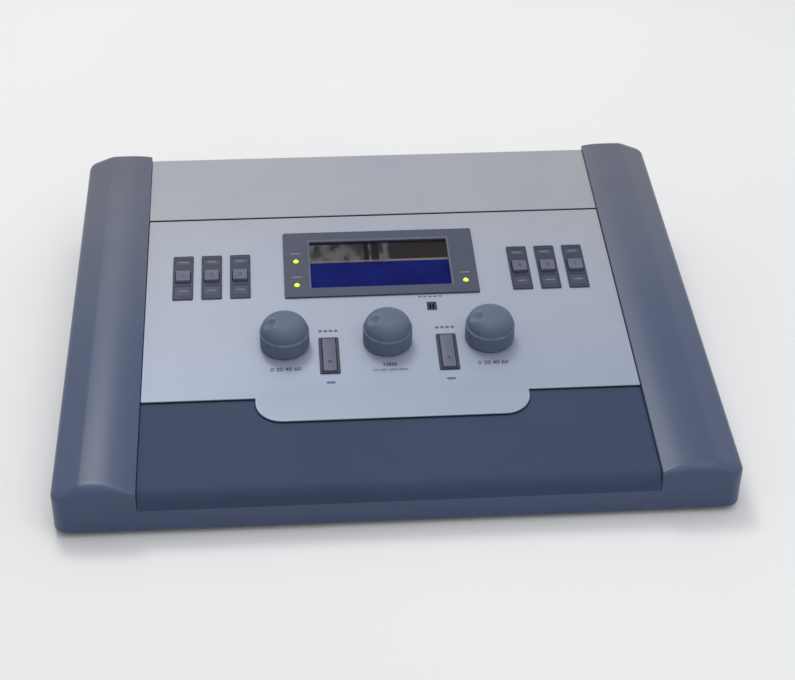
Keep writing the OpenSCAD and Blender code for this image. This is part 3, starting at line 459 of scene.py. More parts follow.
def circuit_board(name):
    """Green solder mask over copper tracks: the tracks are the edges of square cells."""
    f = Finish(name, Roughness=0.35, Coat_Weight=0.3)
    cells = f.node("ShaderNodeTexVoronoi", {"distance": "MANHATTAN"},
                   {"Vector": f.place, "Scale": 260.0}, "Distance")
    tracks = cells.clipped(0.42, 0.5)
    tone = f.mix(tracks*0.5, colour(38, 92, 62), colour(70, 128, 84))
    return f.set(Base_Color=f.mix(f.noise(20).clipped(0.3, 0.7)*0.3, tone, colour(26, 72, 50)),
                 Normal=f.bump(tracks, 0.03))


def flat_cable(name):
    """Grey ribbon cable: round cores side by side, across X."""
    f = Finish(name, Roughness=0.5)
    cores = f.node("ShaderNodeTexWave", {"bands_direction": "X"},
                   {"Vector": f.place, "Scale": 250.0}, "Fac")
    return f.set(Base_Color=f.mix(cores, colour(110, 112, 118), colour(158, 160, 166)),
                 Normal=f.bump(cores, 0.2))


# %% Window, screen and lights
SCREEN_LINE_Y = 40.2    # where the blue field ends, as a depth in the case


def clear_window(name):
    """A hard clear sheet over the screen, seen mostly by its gloss."""
    f = Finish(name, IOR=1.49, Specular_IOR_Level=0.12)
    smears = f.noise(9, 3).clipped(0.45, 0.8)
    return f.set(Base_Color=colour(70, 74, 85), Alpha=0.012 + 0.01*smears,
                 Roughness=0.08 + 0.12*smears)


def lit_screen(name):
    """The display: a glowing blue field, and above it a painted reflection of the room, a dark band
    with upright streaks, then a grey line.
    """
    f = Finish(name, Roughness=0.35, Specular_IOR_Level=0.02, Emission_Strength=1.0)
    x, y = f.axis("X")*1000, f.axis("Y")*1000

    def between(low, high, soft=0.5):
        return (x - low).clipped(0, soft)*(high - x).clipped(0, soft)

    blue = f.mix(f.noise(16, 2).clipped(0.3, 0.7), colour(8, 16, 86), colour(14, 24, 100))
    blue = f.mix(f.noise(0.9, 1).clipped(0.5, 0.75)*0.12, blue, colour(40, 48, 140))
    # Painted reflection of the room: a dark mottled band with upright streaks and darker bars,
    # which glows with the picture.
    band = f.mix(f.noise(7, 3, (1, 0.5, 0.5)).clipped(0.35, 0.6),
                 colour(50, 47, 50), colour(88, 87, 92))
    band = f.mix(between(-30.0, -22.0, 4.0)*f.noise(6, 1).clipped(0.4, 0.55)*0.5,
                 band, colour(92, 92, 98))
    band = f.mix(between(-9.0, -5.6), band, colour(28, 26, 30))
    band = f.mix(between(-4.6, 0.6), band, colour(34, 32, 34))
    band = f.mix(between(2.6, 6.0, 1.0), band, colour(86, 88, 94))
    plain = f.mix(f.noise(9, 2), colour(38, 34, 35), colour(50, 46, 46))
    band = f.mix(between(6.4, 60.0), band, plain)
    above = y - SCREEN_LINE_Y
    shown = f.mix(above.clipped(0.0, 0.5), blue, band)
    line = above.clipped(0.2, 0.8)*(2.6 - above).clipped(0.0, 0.8)
    shown = f.mix(line*(0.5 + 0.4*(x - 6.0).clipped(0, 1.0)), shown, colour(124, 119, 114))
    return f.set(Base_Color=f.mix(0.97, shown, colour(0, 0, 0)), Emission_Color=shown)


def diode(name):
    """A lit green-yellow diode, paler at its heart."""
    f = Finish(name, Roughness=0.25, Emission_Strength=1.0)
    glow = f.noise(1.5, 1).clipped(0.35, 0.65)
    return f.set(Base_Color=f.mix(glow, colour(208, 226, 52), colour(232, 240, 96)),
                 Emission_Color=f.mix(glow, colour(170, 196, 24), colour(214, 228, 60)))


# %% The finishes of this console
def ink_finish(name, *c):
    """Printed ink: matt, with hardly any relief."""
    return moulded(name, colour(*c), rough=0.5, grain=0.2, relief=0.004)


FINISH = {
    # The shell's second colour is the painted shade at its front.
    "shell": body_paint("dark_shell_with_painted_shade", colour(90, 95, 112), colour(61, 76, 107)),
    # The front strip is the shell's plastic, drawn darker as a painted shade.
    "front": moulded("front_strip_painted_shade", colour(57, 69, 95), rough=0.6, drift=0.07, grain=0.5,
                     shine=0.15),
    # The lacquer's bluer second colour is a painted reflection towards the front.
    "lacquer": lacquer("silver_lacquer_with_painted_light", colour(157, 158, 163), colour(148, 157, 177)),
    # The surround's lighter second colour is the painted highlight on the opening's chamfer.
    "bezel": display_trim("display_surround", colour(66, 72, 92), colour(120, 124, 140)),
    "surround": moulded("key_surround", colour(46, 51, 72), rough=0.4, grain=0.3),
    "insert": moulded("label_insert", colour(62, 68, 88), rough=0.35, grain=0.3, relief=0.005),
    "cap": moulded("key_cap", colour(94, 99, 118), rough=0.42, grain=0.25, rim_wear_and_highlight=0.5),
    # The knob's high rim weight lightens its chamfer: wear, and a painted highlight.
    "knob": moulded("soft_touch_knob", colour(92, 103, 126), rough=0.55, grain=0.3, relief=0.03,
                    rim_wear_and_highlight=0.9),
    "grille": moulded("microphone_grille", colour(36, 44, 66), rough=0.5, grain=0.3),
    "black": moulded("black_moulding", colour(34, 35, 40), rough=0.45, grain=0.4),
    "rubber": moulded("foot_rubber", colour(30, 30, 33), rough=0.8, grain=0.6, relief=0.05),
    "print": ink_finish("printed_ink", 58, 64, 84),
    "blue_print": ink_finish("blue_ink", 84, 98, 140),
    "faint_print": ink_finish("faint_ink", 92, 97, 116),
    "light_print": ink_finish("pale_ink", 118, 122, 142),
    "steel": plated("zinc_plate", colour(190, 192, 196)),
    "nickel": plated("nickel_plate", colour(206, 204, 198), rough=0.18),
    "board": circuit_board("circuit_board"),
    "cable": flat_cable("flat_cable"),
    "window": clear_window("clear_window_sheet"),
    "screen": lit_screen("lit_screen"),
    "light": diode("lit_diode"),
}
print("finishes:", ", ".join(sorted(FINISH)))

# %% [markdown]
# ## Finishes on the CAD nodes
#
# The boards, cables, encoders and screws inside keep their CAD solids: their shapes are
# right, and only a finish is missing. Each CAD node's material slot is filled here from
# the finish its material has on the record.

# %% CAD nodes get their finishes
BY_SLOT = {"dark_shell": "shell", "light_shell": "lacquer", "dark_trim": "surround",
           "key_cap": "cap", "knob": "knob", "clear_window": "window", "lcd": "screen",
           "light": "light", "rubber": "rubber", "steel": "steel", "nickel": "nickel",
           "black_part": "black", "board": "board", "cable": "cable"}
BY_NODE = {"mic_cover": "grille"}
for row in frame["record"]["subparts"]:
    mesh = frame["nodes"][row["node"]].data
    mesh.materials.clear()
    mesh.materials.append(FINISH[BY_NODE.get(row["node"], BY_SLOT[row["material_slot"]])].material)

# %% [markdown]
# ## The camera
#
# The camera looks down from a metre away and a little to the left, 0.64 m above the table.
# That place fixes the perspective. A long lens then fills the frame with the console, and
# the view keeps the slight roll of a hand-held picture.

# %% Camera
STAND = Vector((-0.0611, -0.8615, 0.6361))
AIM = Vector((0.00705, -0.01882, 0.030))
RIGHT = Vector((0.99727, -0.07314, 0.01042))
LENS = 80.3
camera = bpy.data.objects.new("camera", bpy.data.cameras.new("camera"))
bpy.context.scene.collection.objects.link(camera)
back = (STAND - AIM).normalized()
camera.matrix_world = Matrix((RIGHT, back.cross(RIGHT), back)).transposed().to_4x4()
camera.location = STAND
camera.data.lens = LENS
bpy.context.scene.camera = camera
print("camera stands %.2f m from the console" % (STAND - AIM).length)

# %% [markdown]
# ## The cheeks
#
# A cheek is one moulded shell. Seen along the case, its section climbs an inner wall and
# crosses a broad arch. After two thirds of the way it bends into a flatter band that falls
# outwards, turns over a small edge and drops to the joint with the bottom case. The section
# is carried along the case's depth. Near the ends it is drawn in by a quarter circle and
# pressed down under a rounded nose, so the corners come out as one soft ball instead of
# three edges that meet.

# %% A cheek's section
CROWN_IN, CROWN_H, ARCH_R = 22.5, 4.0, 66.0
ARCH_FROM, BREAK_AT, BREAK_R, BAND_TILT, EDGE_R = -41.0, -16.0, 12.0, radians(20), 4.0


def arch_height(across):
    """The arch: a circle of radius ARCH_R whose top stands CROWN_H above the faceplate."""
    return CROWN_H - ARCH_R + np.sqrt(ARCH_R**2 - np.clip(across + CROWN_IN, -60, 60)**2)


def cheek_section():
    """The right cheek's section as (across, h), from the inner wall to the outer.

    Across is measured from the outer wall and is negative inwards, and h stands on the
    faceplate's plane. After the arch, each bend is a radius and the tilt that it reaches,
    and the straight band fills what is left of the width."""
    t = np.linspace(ARCH_FROM, BREAK_AT, 26)
    arch = np.stack([t, arch_height(t)], -1)

    def bend(r, tilt_a, tilt_b, start, steps):
        a = np.linspace(tilt_a, tilt_b, steps + 1)[1:]
        return start + r*np.stack([np.sin(a) - sin(tilt_a), np.cos(a) - cos(tilt_a)], -1)

    tilt = np.arcsin((BREAK_AT + CROWN_IN)/ARCH_R)
    first = bend(BREAK_R, tilt, BAND_TILT, arch[-1], 8)
    last = bend(EDGE_R, BAND_TILT, radians(78), np.zeros(2), 10)
    run = -first[-1, 0] - last[-1, 0]
    band_end = first[-1] + [run, -run*tan(BAND_TILT)]
    band = first[-1] + np.linspace(0, 1, 6)[1:, None]*(band_end - first[-1])
    return np.concatenate([arch, first, band, band_end + last])


# %% Cheeks
CORNER_R, REAR_CORNER_R, NOSE_R, TAIL_R = 8.0, 5.0, 8.0, 3.0
NOSE_TOP, NOSE_BLEND, TAIL_BLEND, ARCH_GAP, STEP_IN = CROWN_H + 0.4, 3.0, 1.2, 0.5, 0.35


def drawn_in(distance, r):
    """How far a quarter-round end of radius r has drawn in, at a distance from its tip."""
    return r - np.sqrt(r*r - np.clip(r - distance, 0, r)**2)


def pressed_down(z, into, level, r, blend):
    """Heights under a round end: a quarter circle of radius r that falls from the level.

    Into is the way past the start of the round. The smaller of the two heights counts,
    with the crossing rounded over a width that grows to blend at the tip."""
    end = level + np.sqrt(r**2 - into**2)
    k = np.maximum(blend*into/r, 1e-6)
    lower = np.minimum(z, end) - np.clip(k - np.abs(z - end), 0, None)**2/(4*k)
    return np.where(into > 0, lower, z)


def cheek(side):
    """The section carried along Y: x follows the flared side, z follows the sloping face."""
    section = cheek_section()
    half = CASE_D/2
    end = 1 - np.cos(np.linspace(0, np.pi/2, 14))
    straight = np.linspace(-half + CORNER_R, half - REAR_CORNER_R, 36)[1:-1]
    y = np.concatenate([-half + CORNER_R*end, straight, half - REAR_CORNER_R*end[::-1]])[:, None]
    wide = REAR_W/2 + (half - y)*(FRONT_W - REAR_W)/2/CASE_D - CHEEK_X
    # The arch is stretched inwards, to end a small gap from the cheek's inner wall.
    across = section[:, 0] + 0*y
    share = np.clip((across - BREAK_AT)/(ARCH_FROM - BREAK_AT), 0, 1)
    across = across + share*(-wide + ARCH_GAP - ARCH_FROM)
    h = np.where(section[:, 0] <= BREAK_AT, arch_height(across), section[:, 1])
    z = face_height(y, h)
    nose_y, tail_y = -half + NOSE_R, half - TAIL_R
    z = pressed_down(z, np.clip(nose_y - y, 0, NOSE_R),
                     face_height(nose_y, NOSE_TOP - NOSE_R), NOSE_R, NOSE_BLEND)
    z = pressed_down(z, np.clip(y - tail_y, 0, TAIL_R),
                     face_height(tail_y, NOSE_TOP - TAIL_R), TAIL_R, TAIL_BLEND)
    # The inner wall goes up to the arch by a small step, and the outer wall down to the joint.
    x = wide + across
    x = np.concatenate([0*y, 0*y, x[:, :1] - STEP_IN, x, wide, wide, wide], 1)
    edge, last = z[:, :1], z[:, -1:]
    z = np.concatenate([0*y + PARTING_H, edge - 0.5, edge - 0.15, z, last*0.6 + PARTING_H*0.4,
                        0*y + PARTING_H + 0.4, 0*y + PARTING_H], 1)
    draw = np.maximum(drawn_in(y + half, CORNER_R), drawn_in(half - y, REAR_CORNER_R))
    x = CHEEK_X + x*(wide - draw)/wide
    return [stack(upright(side*x, y, np.maximum(z, PARTING_H)))]


for side, name in ((-1, "left"), (1, "right")):
    made = piece(name + "_cheek_shell", cheek(side), FINISH["shell"],
                 stands_for=[name + "_cheek"], crease=50)
    print(made.name, len(made.data.polygons), "faces")

# %% [markdown]
# ## The faceplate
#
# The control panel is a 3 mm plate with a tab at its front. Its outline is written as a
# formula of the inset, so the same formula draws the sharp lower edge and every ring of
# the rounded upper one. The cut-outs are holes of the same slab. The covers behind and in
# front, and the bottom case, keep their CAD shapes with softened edges.

# %% Places of the controls
TAB_W, TAB_L, TAB_R = 153.0, 18.8, 15.0
KEY_X, KEY_PITCH, KEY_S = 84.1, 17.0, STRIP_L + 56.2
BAR_XS, BAR_S = (-33.9, 33.9), STRIP_L + 129.0
KNOB_XS, KNOB_S = (-59.0, 0.0, 59.0), STRIP_L + 117.6
MIC_X, MIC_S = 28.2, STRIP_L + 88.4
KEY_XS = [-(KEY_X + i*KEY_PITCH) for i in (2, 1, 0)] + [KEY_X + i*KEY_PITCH for i in (0, 1, 2)]


def panel_outline(inset=0.0):
    """The panel's edge: straight sides, and a tab whose corners are quarter circles."""
    w, t, r = FACE_W/2 - inset, TAB_W/2 - inset, TAB_R - inset
    rear, front, tip = STRIP_L + SEAM/2 + inset, FACE_END - inset, FACE_END + TAB_L - inset
    a = np.radians(np.linspace(0, 90, 13))
    arc = np.stack([t - TAB_R + inset + r*np.cos(a), tip - TAB_R + inset + r*np.sin(a)], -1)
    half = np.concatenate([[[w, rear], [w, front], [t, front]], arc])
    return np.concatenate([half, half[::-1]*[-1, 1]])


# %% Control panel
THROUGH = [(0.0, -FACE_T), (0.0, -0.2), (-0.15, 0.0), (-0.9, 0.0)]
PANEL_EDGE = [(0.0, -FACE_T)] + fillet(0.45, 0.0, support=1.2)
# Each cut-out's width, length and corner radius; an encoder's hole is round
BEZEL_CUT, KEY_CUT, BAR_CUT = (110, 54.4, 0.5), (11, 38.8, 0.5), (10.3, 28.6, 0.5)
MIC_CUT, ENCODER_HOLE_D = (5.6, 7.4, 0.4), 9.3
cut_outs = [rounded(*BEZEL_CUT, 0, BEZEL_S)]
cut_outs += [rounded(*KEY_CUT, x, KEY_S) for x in KEY_XS]
cut_outs += [rounded(*BAR_CUT, x, BAR_S) for x in BAR_XS]
cut_outs += [disc(ENCODER_HOLE_D, x, KNOB_S) for x in KNOB_XS]
cut_outs += [rounded(*MIC_CUT, MIC_X, MIC_S)]
piece("control_panel_plate",
      slab((panel_outline, PANEL_EDGE), *[(loop, THROUGH) for loop in cut_outs]),
      FINISH["lacquer"], stands_for=["control_panel"])
print("control panel:", len(cut_outs), "cut-outs")

# %% Covers and bottom case
softened("rear_strip", "rear_cover", FINISH["lacquer"], 0.4)
# The front cover's finish is the shell's plastic with a painted shade.
softened("front_strip", "front_cover", FINISH["front"], 0.4)
softened("bottom_case", "bottom_tray", FINISH["shell"], 0.5)

# %% [markdown]
# ## The display
#
# A thin surround stands on the faceplate. Its opening is chamfered above and steps out
# below to seat the clear window, and three small holes let the status lights through. The
# picture is the top of a stepped block that stands up into the opening, so that it lies
# close under the window. The lights are domes: a profile turned round an axis.

# %% Display surround
BEZEL_H, WINDOW_H = 1.2, -0.8
LIGHT_X, UPPER_LIGHT_S, LOWER_LIGHT_S = 50.5, BEZEL_REAR + 27.2, BEZEL_REAR + 49.3
LIGHTS = [(-LIGHT_X, UPPER_LIGHT_S), (-LIGHT_X, LOWER_LIGHT_S), (LIGHT_X, LOWER_LIGHT_S)]
LIGHT_HOLE_D, BEZEL_CORNER_R, OPENING_CORNER_R = 3.9, 1.2, 0.6
CHAMFER = [(0.0, 0.3), (-0.06, 0.42), (-0.75, 1.1), (-0.9, 1.17), (-1.05, BEZEL_H),
           (-1.9, BEZEL_H)]
outside = [(3.2, -4.0), (3.2, 0.0), (0.0, 0.0)] + fillet(0.35, BEZEL_H)
opening = [(-1.7, -4.0), (-1.7, WINDOW_H), (0.0, WINDOW_H)] + CHAMFER
light_hole = [(0.0, -4.0)] + hole(fillet(0.15, BEZEL_H, 0.3))
piece("display_surround",
      slab((rounded(BEZEL_W, BEZEL_L, BEZEL_CORNER_R, 0, BEZEL_S), outside),
           (rounded(OPENING_W, OPENING_L, OPENING_CORNER_R, 0, BEZEL_S), opening),
           *[(disc(LIGHT_HOLE_D, x, s, 24), light_hole) for x, s in LIGHTS]),
      FINISH["bezel"], stands_for=["display_bezel"])

# %% Window, picture and lights
WINDOW_T, PICTURE_H, PICTURE_FOOT, PICTURE_STEP = 1.5, -2.4, -4.85, 3.6
WINDOW_SIZE, PICTURE_SIZE = (87, 46.4, 0.5), (92, 51.4, 0.5)
sheet = [(0.0, WINDOW_H - WINDOW_T)] + fillet(0.1, WINDOW_H)
piece("display_sheet", slab((rounded(*WINDOW_SIZE, 0, BEZEL_S), sheet)),
      FINISH["window"], stands_for=["display_window"])

block = [(0.0, -10.0), (0.0, PICTURE_FOOT), (PICTURE_STEP, PICTURE_FOOT), (PICTURE_STEP, PICTURE_H)]
piece("display_picture", [stack(carried(rounded(*PICTURE_SIZE, 0, BEZEL_S), block))],
      FINISH["screen"], stands_for=["lcd_cell"])

DOME_R, DOME_AT, DOME_FOOT_R, DOME_FOOT_H = 1.8, 0.2, 2.2, -4.1
a = np.radians(np.linspace(0, 90, 9))
dome = [(DOME_FOOT_R, -5.0), (DOME_FOOT_R, DOME_FOOT_H), (DOME_R, DOME_FOOT_H)]
dome += [(DOME_R*cos(t), DOME_AT + DOME_R*sin(t)) for t in a[:-1]] + [(0.05, DOME_AT + DOME_R)]
piece("status_domes", [turned(dome, x, s, 24) for x, s in LIGHTS],
      FINISH["light"], stands_for=["status_lights"])

# %% [markdown]
# ## Keys
#
# Each key has a dark surround with a shallow well above and below the cap. A well holds a
# small blank label insert. The cap is a rounded block whose top is dished by a fifth of a
# millimetre for the fingertip. A number, moulded by the text tool and flattened onto the
# cap, tells the keys apart.

# %% Keys
def cap_levels(w, low, top, edge, dish, steps=5):
    """A wall, a rounded edge, then rings towards the middle whose depth follows a sine."""
    inner = np.linspace(0, 1, steps + 1)[1:]
    reach = w/2 - edge - 0.3
    return ([(0.0, low)] + fillet(edge, top, 0.25, 5)
            + [(edge + 0.25 + (reach - 0.25)*u, top - dish*sin(u*np.pi/2)) for u in inner])


# Widths, lengths and corner radii
FRAME_SIZE, KEY_HOLE_SIZE, KEY_CAP_SIZE = (12.2, 40, 1.0), (9.2, 9.8, 0.6), (8.6, 9.2, 0.8)
WELL_W, WELL_R, INSERT_W, INSERT_R, INSERT_PLAY = 9.8, 0.5, 9.5, 0.4, 0.3
FRAME_H = 0.8
FRAME_EDGE = [(0.75, -5.0), (0.75, 0.0), (0.0, 0.0)] + fillet(0.3, FRAME_H, 0.3)
KEY_HOLE = [(0.0, -5.0)] + hole(fillet(0.15, FRAME_H, 0.25))
WELLS = [(-14.1, 5.0), (12.4, 8.4)]    # each well's place from the key's middle, and its length
WELL_EDGE = [(0.0, 0.5), (0.0, 0.7), (-0.1, FRAME_H), (-0.4, FRAME_H)]
INSERT_EDGE = [(0.0, 0.505)] + fillet(0.08, 0.68, 0.2)
KEY_CAP = cap_levels(KEY_CAP_SIZE[0], low=-5.1, top=2.6, edge=0.6, dish=0.2)
for i, x in enumerate(KEY_XS, 1):
    edges = [(rounded(*FRAME_SIZE, x, KEY_S), FRAME_EDGE),
             (rounded(*KEY_HOLE_SIZE, x, KEY_S), KEY_HOLE)]
    edges += [(rounded(WELL_W, l, WELL_R, x, KEY_S + place), WELL_EDGE) for place, l in WELLS]
    piece("key_surround_%d" % i, slab(*edges), FINISH["surround"],
          stands_for=["key_frame_%d" % i])
    inserts = [slab((rounded(INSERT_W, l - INSERT_PLAY, INSERT_R, x, KEY_S + place), INSERT_EDGE))
               for place, l in WELLS]
    piece("key_inserts_%d" % i, sum(inserts, []), FINISH["insert"])
    piece("key_cap_%d" % i, [stack(carried(rounded(*KEY_CAP_SIZE, x, KEY_S), KEY_CAP))],
          FINISH["cap"], body="push_key_%d" % i, stands_for=["key_%d" % i])
print("keys:", len(KEY_XS))

# %% [markdown]
# ## Bars
#
# The two long bars tilt about a pin at their rear end. Their tops are crowned instead of
# dished, which is why a soft streak of light runs along them.

# %% Bars
BAR_FRAME_SIZE, BAR_HOLE_SIZE, BAR_CAP_SIZE = (11.5, 29.8, 0.8), (8.3, 28.0, 0.5), (7.7, 27, 0.6)
BAR_FRAME_H = 1.0
BAR_FRAME = [(0.75, -7.0), (0.75, 0.0), (0.0, 0.0)] + fillet(0.3, BAR_FRAME_H, 0.3)
BAR_HOLE = [(0.0, -7.0)] + hole(fillet(0.15, BAR_FRAME_H, 0.3))
BAR_CAP = cap_levels(BAR_CAP_SIZE[0], low=-1.8, top=1.6, edge=0.5, dish=-0.25)
for x, name in zip(BAR_XS, ("left", "right")):
    edges = [(rounded(*BAR_FRAME_SIZE, x, BAR_S), BAR_FRAME),
             (rounded(*BAR_HOLE_SIZE, x, BAR_S), BAR_HOLE)]
    piece(name + "_bar_surround", slab(*edges), FINISH["surround"],
          stands_for=[name + "_bar_frame"])
    piece(name + "_bar_cap", [stack(carried(rounded(*BAR_CAP_SIZE, x, BAR_S), BAR_CAP))],
          FINISH["cap"], body=name + "_bar_key", stands_for=[name + "_bar"])

# %% [markdown]
# ## Knobs
#
# A knob has a short straight side with a polished chamfer, and above it a broad round
# shoulder that leaves the chamfer at a slight lean and runs over into a slightly crowned
# top. The rings are fine enough for the finger dimple, a round hollow whose depth falls off
# as (1 - (distance/radius)^2)^1.2, so that its rim is crisp but not sharp.

# %% Knobs
KNOB_R, KNOB_SIDE, KNOB_TOP, LEDGE, CROWN, LEAN = 14.2, 10.8, 18.6, 0.75, 0.3, radians(3)
KNOB_LIFT, KNOB_FOOT_R, FOOT_BEVEL = 1.0, 9.5, 0.25
DIMPLE_AT, DIMPLE_TURN, DIMPLE_R, DIMPLE_DEPTH = 8.2, radians(190), 3.8, 2.1
KNOB_CHAMFER = [(0.0, 1.3), (0.0, 1.0), (0.0, 0.7), (0.08, 0.55), (0.5, 0.1), (0.65, 0.0)]


def knob(x, steps=96):
    """A turned profile of side, chamfer, shoulder and crowned top, with the dimple pressed in."""
    a = np.linspace(LEAN, np.pi/2, 31)
    shoulder_r = (KNOB_TOP - CROWN - KNOB_SIDE)/(1 - sin(LEAN))
    flat_r = KNOB_R - LEDGE - shoulder_r*cos(LEAN)
    side = [(KNOB_FOOT_R, KNOB_LIFT), (KNOB_R - FOOT_BEVEL, KNOB_LIFT),
            (KNOB_R, KNOB_LIFT + FOOT_BEVEL), (KNOB_R, 1.6), (KNOB_R, 2.0)]
    side += [(KNOB_R - inset, KNOB_SIDE - below) for inset, below in KNOB_CHAMFER]
    shoulder = np.stack([flat_r + shoulder_r*np.cos(a),
                         KNOB_TOP - CROWN - shoulder_r*(1 - np.sin(a))], -1)
    r = np.linspace(flat_r, 0.05, 16)[1:]
    top = np.stack([r, KNOB_TOP - CROWN*(r/flat_r)**2], -1)
    radius, h = np.concatenate([side, shoulder, top]).T[:, :, None]
    turn = np.linspace(0, 2*np.pi, steps, endpoint=False)
    px, pt = radius*np.cos(turn), radius*np.sin(turn)
    away = np.hypot(px - DIMPLE_AT*cos(DIMPLE_TURN), pt - DIMPLE_AT*sin(DIMPLE_TURN))/DIMPLE_R
    pressed = DIMPLE_DEPTH*np.clip(1 - away**2, 0, 1)**1.2*(h > KNOB_SIDE + 1)
    return stack(on_face(x + px, KNOB_S - pt, h - pressed))


for x, name in zip(KNOB_XS, ("left", "centre", "right")):
    piece(name + "_knob_cap", [knob(x)], FINISH["knob"], body=name + "_dial",
          stands_for=[name + "_knob"], crease=45)
print("knobs:", len(KNOB_XS))

# %% [markdown]
# ## The back and the underside
#
# The back carries four sockets with hexagon nuts, the power inlet and the rocker switch.
# These are CAD shapes with softened edges. The feet are turned rubber pads.

# %% Back
softened("rear_panel", "rear_plate", FINISH["surround"], 0.3)
softened("jack_nuts", "socket_nuts", FINISH["nickel"], 0.25)
for node in ("right_phone_jack", "left_phone_jack", "bone_jack", "response_jack", "power_inlet",
             "power_switch_frame"):
    softened(node, node + "_body", FINISH["black"], 0.2)
softened("power_rocker", "power_rocker_cap", FINISH["cap"], 0.4, body="power_key")

# %% Feet
FOOT_IN, FLARE = 24, (FRONT_W - REAR_W)/2
pad = [(4.0, 0.6), (5.0, 0.0), (6.6, 0.0), (7.4, 0.35), (8.0, 1.2), (8.0, FOOT_H + 0.8)]
feet = [(i*(REAR_W/2 + (0 if j > 0 else FLARE) - FOOT_IN), j*(CASE_D/2 - FOOT_IN))
        for i in (-1, 1) for j in (-1, 1)]
piece("rubber_feet", [turned(pad, x, y, 40, upright) for x, y in feet],
      FINISH["rubber"], stands_for=["feet"])

# %% [markdown]
# ## Printed marks
#
# Plain numbers and short bars mark the controls. A number is a text object made into a
# mesh, laid on the face as flat ink.

# %% Numbers and dashes
def number(word, x, s, h, size, bold):
    """Digits as flat faces, centred on (x, s) at height h; bold widens their strokes."""
    text = bpy.data.curves.new("number", "FONT")
    text.body, text.size, text.offset = word, size, bold
    text.align_x, text.align_y = "CENTER", "CENTER"
    obj = bpy.data.objects.new("number", text)
    bpy.context.scene.collection.objects.link(obj)
    drawn = obj.evaluated_get(bpy.context.evaluated_depsgraph_get())
    made = bpy.data.meshes.new_from_object(drawn)
    flat = np.array([v.co for v in made.vertices])
    faces = [list(f.vertices) for f in made.polygons]
    bpy.data.objects.remove(obj)
    return on_face(x + flat[:, 0], s - flat[:, 1], h), faces


def dash(w, l, x, s, h):
    """A short printed bar."""
    loop = rounded(w, l, min(w, l)/2.2, x, s, 3)()
    return on_face(*loop.T, h), [list(range(len(loop)))]


def ink(name, parts, finish="print", body="console"):
    """Flat marks keep their faces upwards; they are laid a hair above what carries them."""
    mesh = piece(name, parts, FINISH[finish], body=body).data
    work = bmesh.new()
    work.from_mesh(mesh)
    work.normal_update()
    bmesh.ops.reverse_faces(work, faces=[f for f in work.faces if f.normal.z < 0])
    work.to_mesh(mesh)
    work.free()


# %% Printed marks
FACE_INK, INSERT_INK, KEY_INK, BAR_INK = 0.03, 0.70, 2.43, 1.88    # heights
BELOW_KNOB, BELOW_CENTRE, LAST_ROW, BELOW_BAR, ON_BAR = 21.4, 20.2, 24.6, 22.0, 6.5
ABOVE_BAR, ABOVE_MIC, ABOVE_LIGHT = 21.4, 8.6, 7.0
ROW_OF_FOUR, ROW_OF_FIVE = (-4.5, -1.5, 1.5, 4.5), (-6.4, -3.4, -0.4, 2.6, 5.6)
marks = [number("0 20 40 60", x, KNOB_S + BELOW_KNOB, FACE_INK, 4.0, 0.08)
         for x in KNOB_XS[::2]]
marks += [number("1000", 0, KNOB_S + BELOW_CENTRE, FACE_INK, 4.2, 0.08)]
ink("face_marks", marks)
faint = [number("125 500 2000 8000", 0, KNOB_S + LAST_ROW, FACE_INK, 2.6, 0.06)]
faint += [dash(2.3, 2.0, x + i, BAR_S - ABOVE_BAR, FACE_INK) for x in BAR_XS for i in ROW_OF_FOUR]
ink("faint_marks", faint, "faint_print")
ink("bar_marks", [dash(5.2, 1.8, x, BAR_S + BELOW_BAR, FACE_INK) for x in BAR_XS], "blue_print")
ink("microphone_marks",
    [dash(2.2, 1.2, MIC_X + i, MIC_S - ABOVE_MIC, FACE_INK) for i in ROW_OF_FIVE], "faint_print")
ink("surround_marks", [dash(6.5, 1.1, x, s - ABOVE_LIGHT, BEZEL_H + 0.02) for x, s in LIGHTS],
    "light_print")
ink("insert_marks",
    [dash(5.4, 0.9, x, KEY_S + place, INSERT_INK) for x in KEY_XS for place, _ in WELLS],
    "light_print")
for i, x in enumerate(KEY_XS, 1):
    ink("key_number_%d" % i, [number(str(i), x, KEY_S, KEY_INK, 4.2, 0.1)],
        body="push_key_%d" % i)
for x, name in zip(BAR_XS, ("left", "right")):
    ink(name + "_bar_mark", [dash(2.2, 2.2, x, BAR_S + ON_BAR, BAR_INK)], body=name + "_bar_key")

# %% [markdown]
# ## Floor and light
#
# A pale floor, three soft lamps, and a sky that the camera, gloss and clear parts see as
# plain white while it lights the console more softly. The lamps and the sky together give
# a level surface about the light at which its colour comes out as written. The key lamp
# stands behind and to the left, so that the knobs shade their front sides.

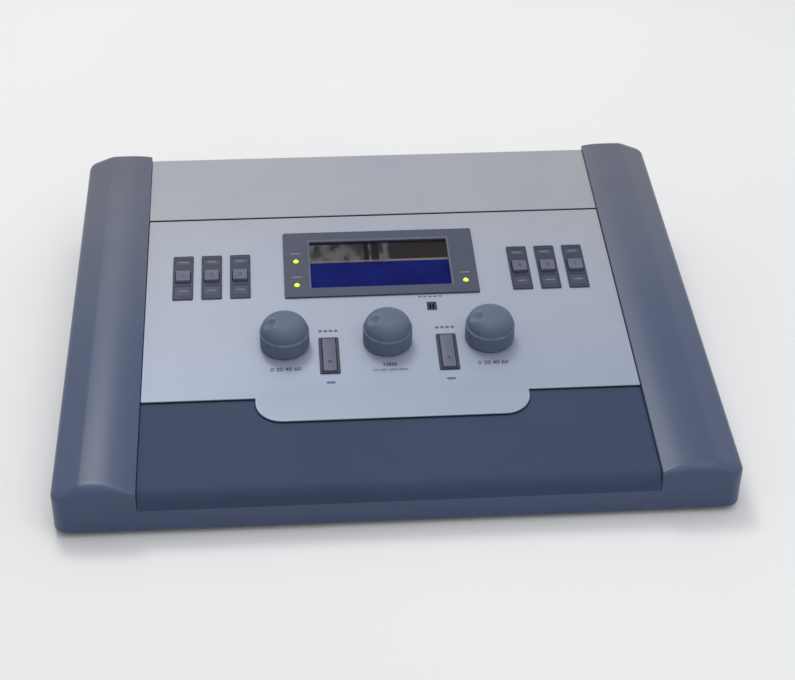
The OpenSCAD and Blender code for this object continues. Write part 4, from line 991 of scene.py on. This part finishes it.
# %% Floor
floor_mesh = bpy.data.meshes.new("floor")
floor_mesh.from_pydata([(-6, -6, 0), (6, -6, 0), (6, 6, 0), (-6, 6, 0)], [], [(0, 1, 2, 3)])
floor = bpy.data.objects.new("floor", floor_mesh)
bpy.context.scene.collection.objects.link(floor)
paper = Finish("floor_paper", Roughness=0.9)
paper.set(Base_Color=paper.mix(paper.noise(400, 3).clipped(0.3, 0.7),
                               (0.86, 0.86, 0.87, 1), (0.89, 0.89, 0.895, 1)))
floor_mesh.materials.append(paper.material)

# %% Lamps
LOOK_AT = Vector((0, 0, 0.03))


def lamp(name, place, size, power, warmth=(1, 1, 1)):
    """A square area lamp that looks at the console."""
    data = bpy.data.lights.new(name, "AREA")
    data.size, data.energy, data.color = size, power, warmth
    obj = bpy.data.objects.new(name, data)
    turn = (Vector(place) - LOOK_AT).to_track_quat("Z", "Y")
    obj.matrix_world = Matrix.Translation(place) @ turn.to_matrix().to_4x4()
    bpy.context.scene.collection.objects.link(obj)


lamp("key", (-0.4, 0.9, 1.8), 0.6, 12.0, (1.0, 0.99, 0.97))
lamp("top", (0.1, 0.2, 1.9), 1.0, 5.0)
lamp("fill", (0.6, -0.9, 1.5), 1.4, 7.0, (0.97, 0.985, 1.0))

# %% Sky
world = bpy.data.worlds.new("sky")
bpy.context.scene.world = world
world.use_nodes = True
tree = world.node_tree
light = tree.nodes["Background"]
light.inputs["Color"].default_value = (0.98, 0.99, 1.0, 1)
light.inputs["Strength"].default_value = 0.46
seen = tree.nodes.new("ShaderNodeBackground")
seen.inputs["Color"].default_value = (1, 1, 1, 1)
path = tree.nodes.new("ShaderNodeLightPath")
blend = tree.nodes.new("ShaderNodeMixShader")
seeing = path.outputs["Is Camera Ray"]
for ray in ("Is Glossy Ray", "Is Transmission Ray"):
    either = tree.nodes.new("ShaderNodeMath")
    either.operation = "MAXIMUM"
    tree.links.new(seeing, either.inputs[0])
    tree.links.new(path.outputs[ray], either.inputs[1])
    seeing = either.outputs[0]
tree.links.new(seeing, blend.inputs[0])
tree.links.new(light.outputs[0], blend.inputs[1])
tree.links.new(seen.outputs[0], blend.inputs[2])
tree.links.new(blend.outputs[0], tree.nodes["World Output"].inputs["Surface"])
bpy.context.scene.view_settings.view_transform = "Standard"
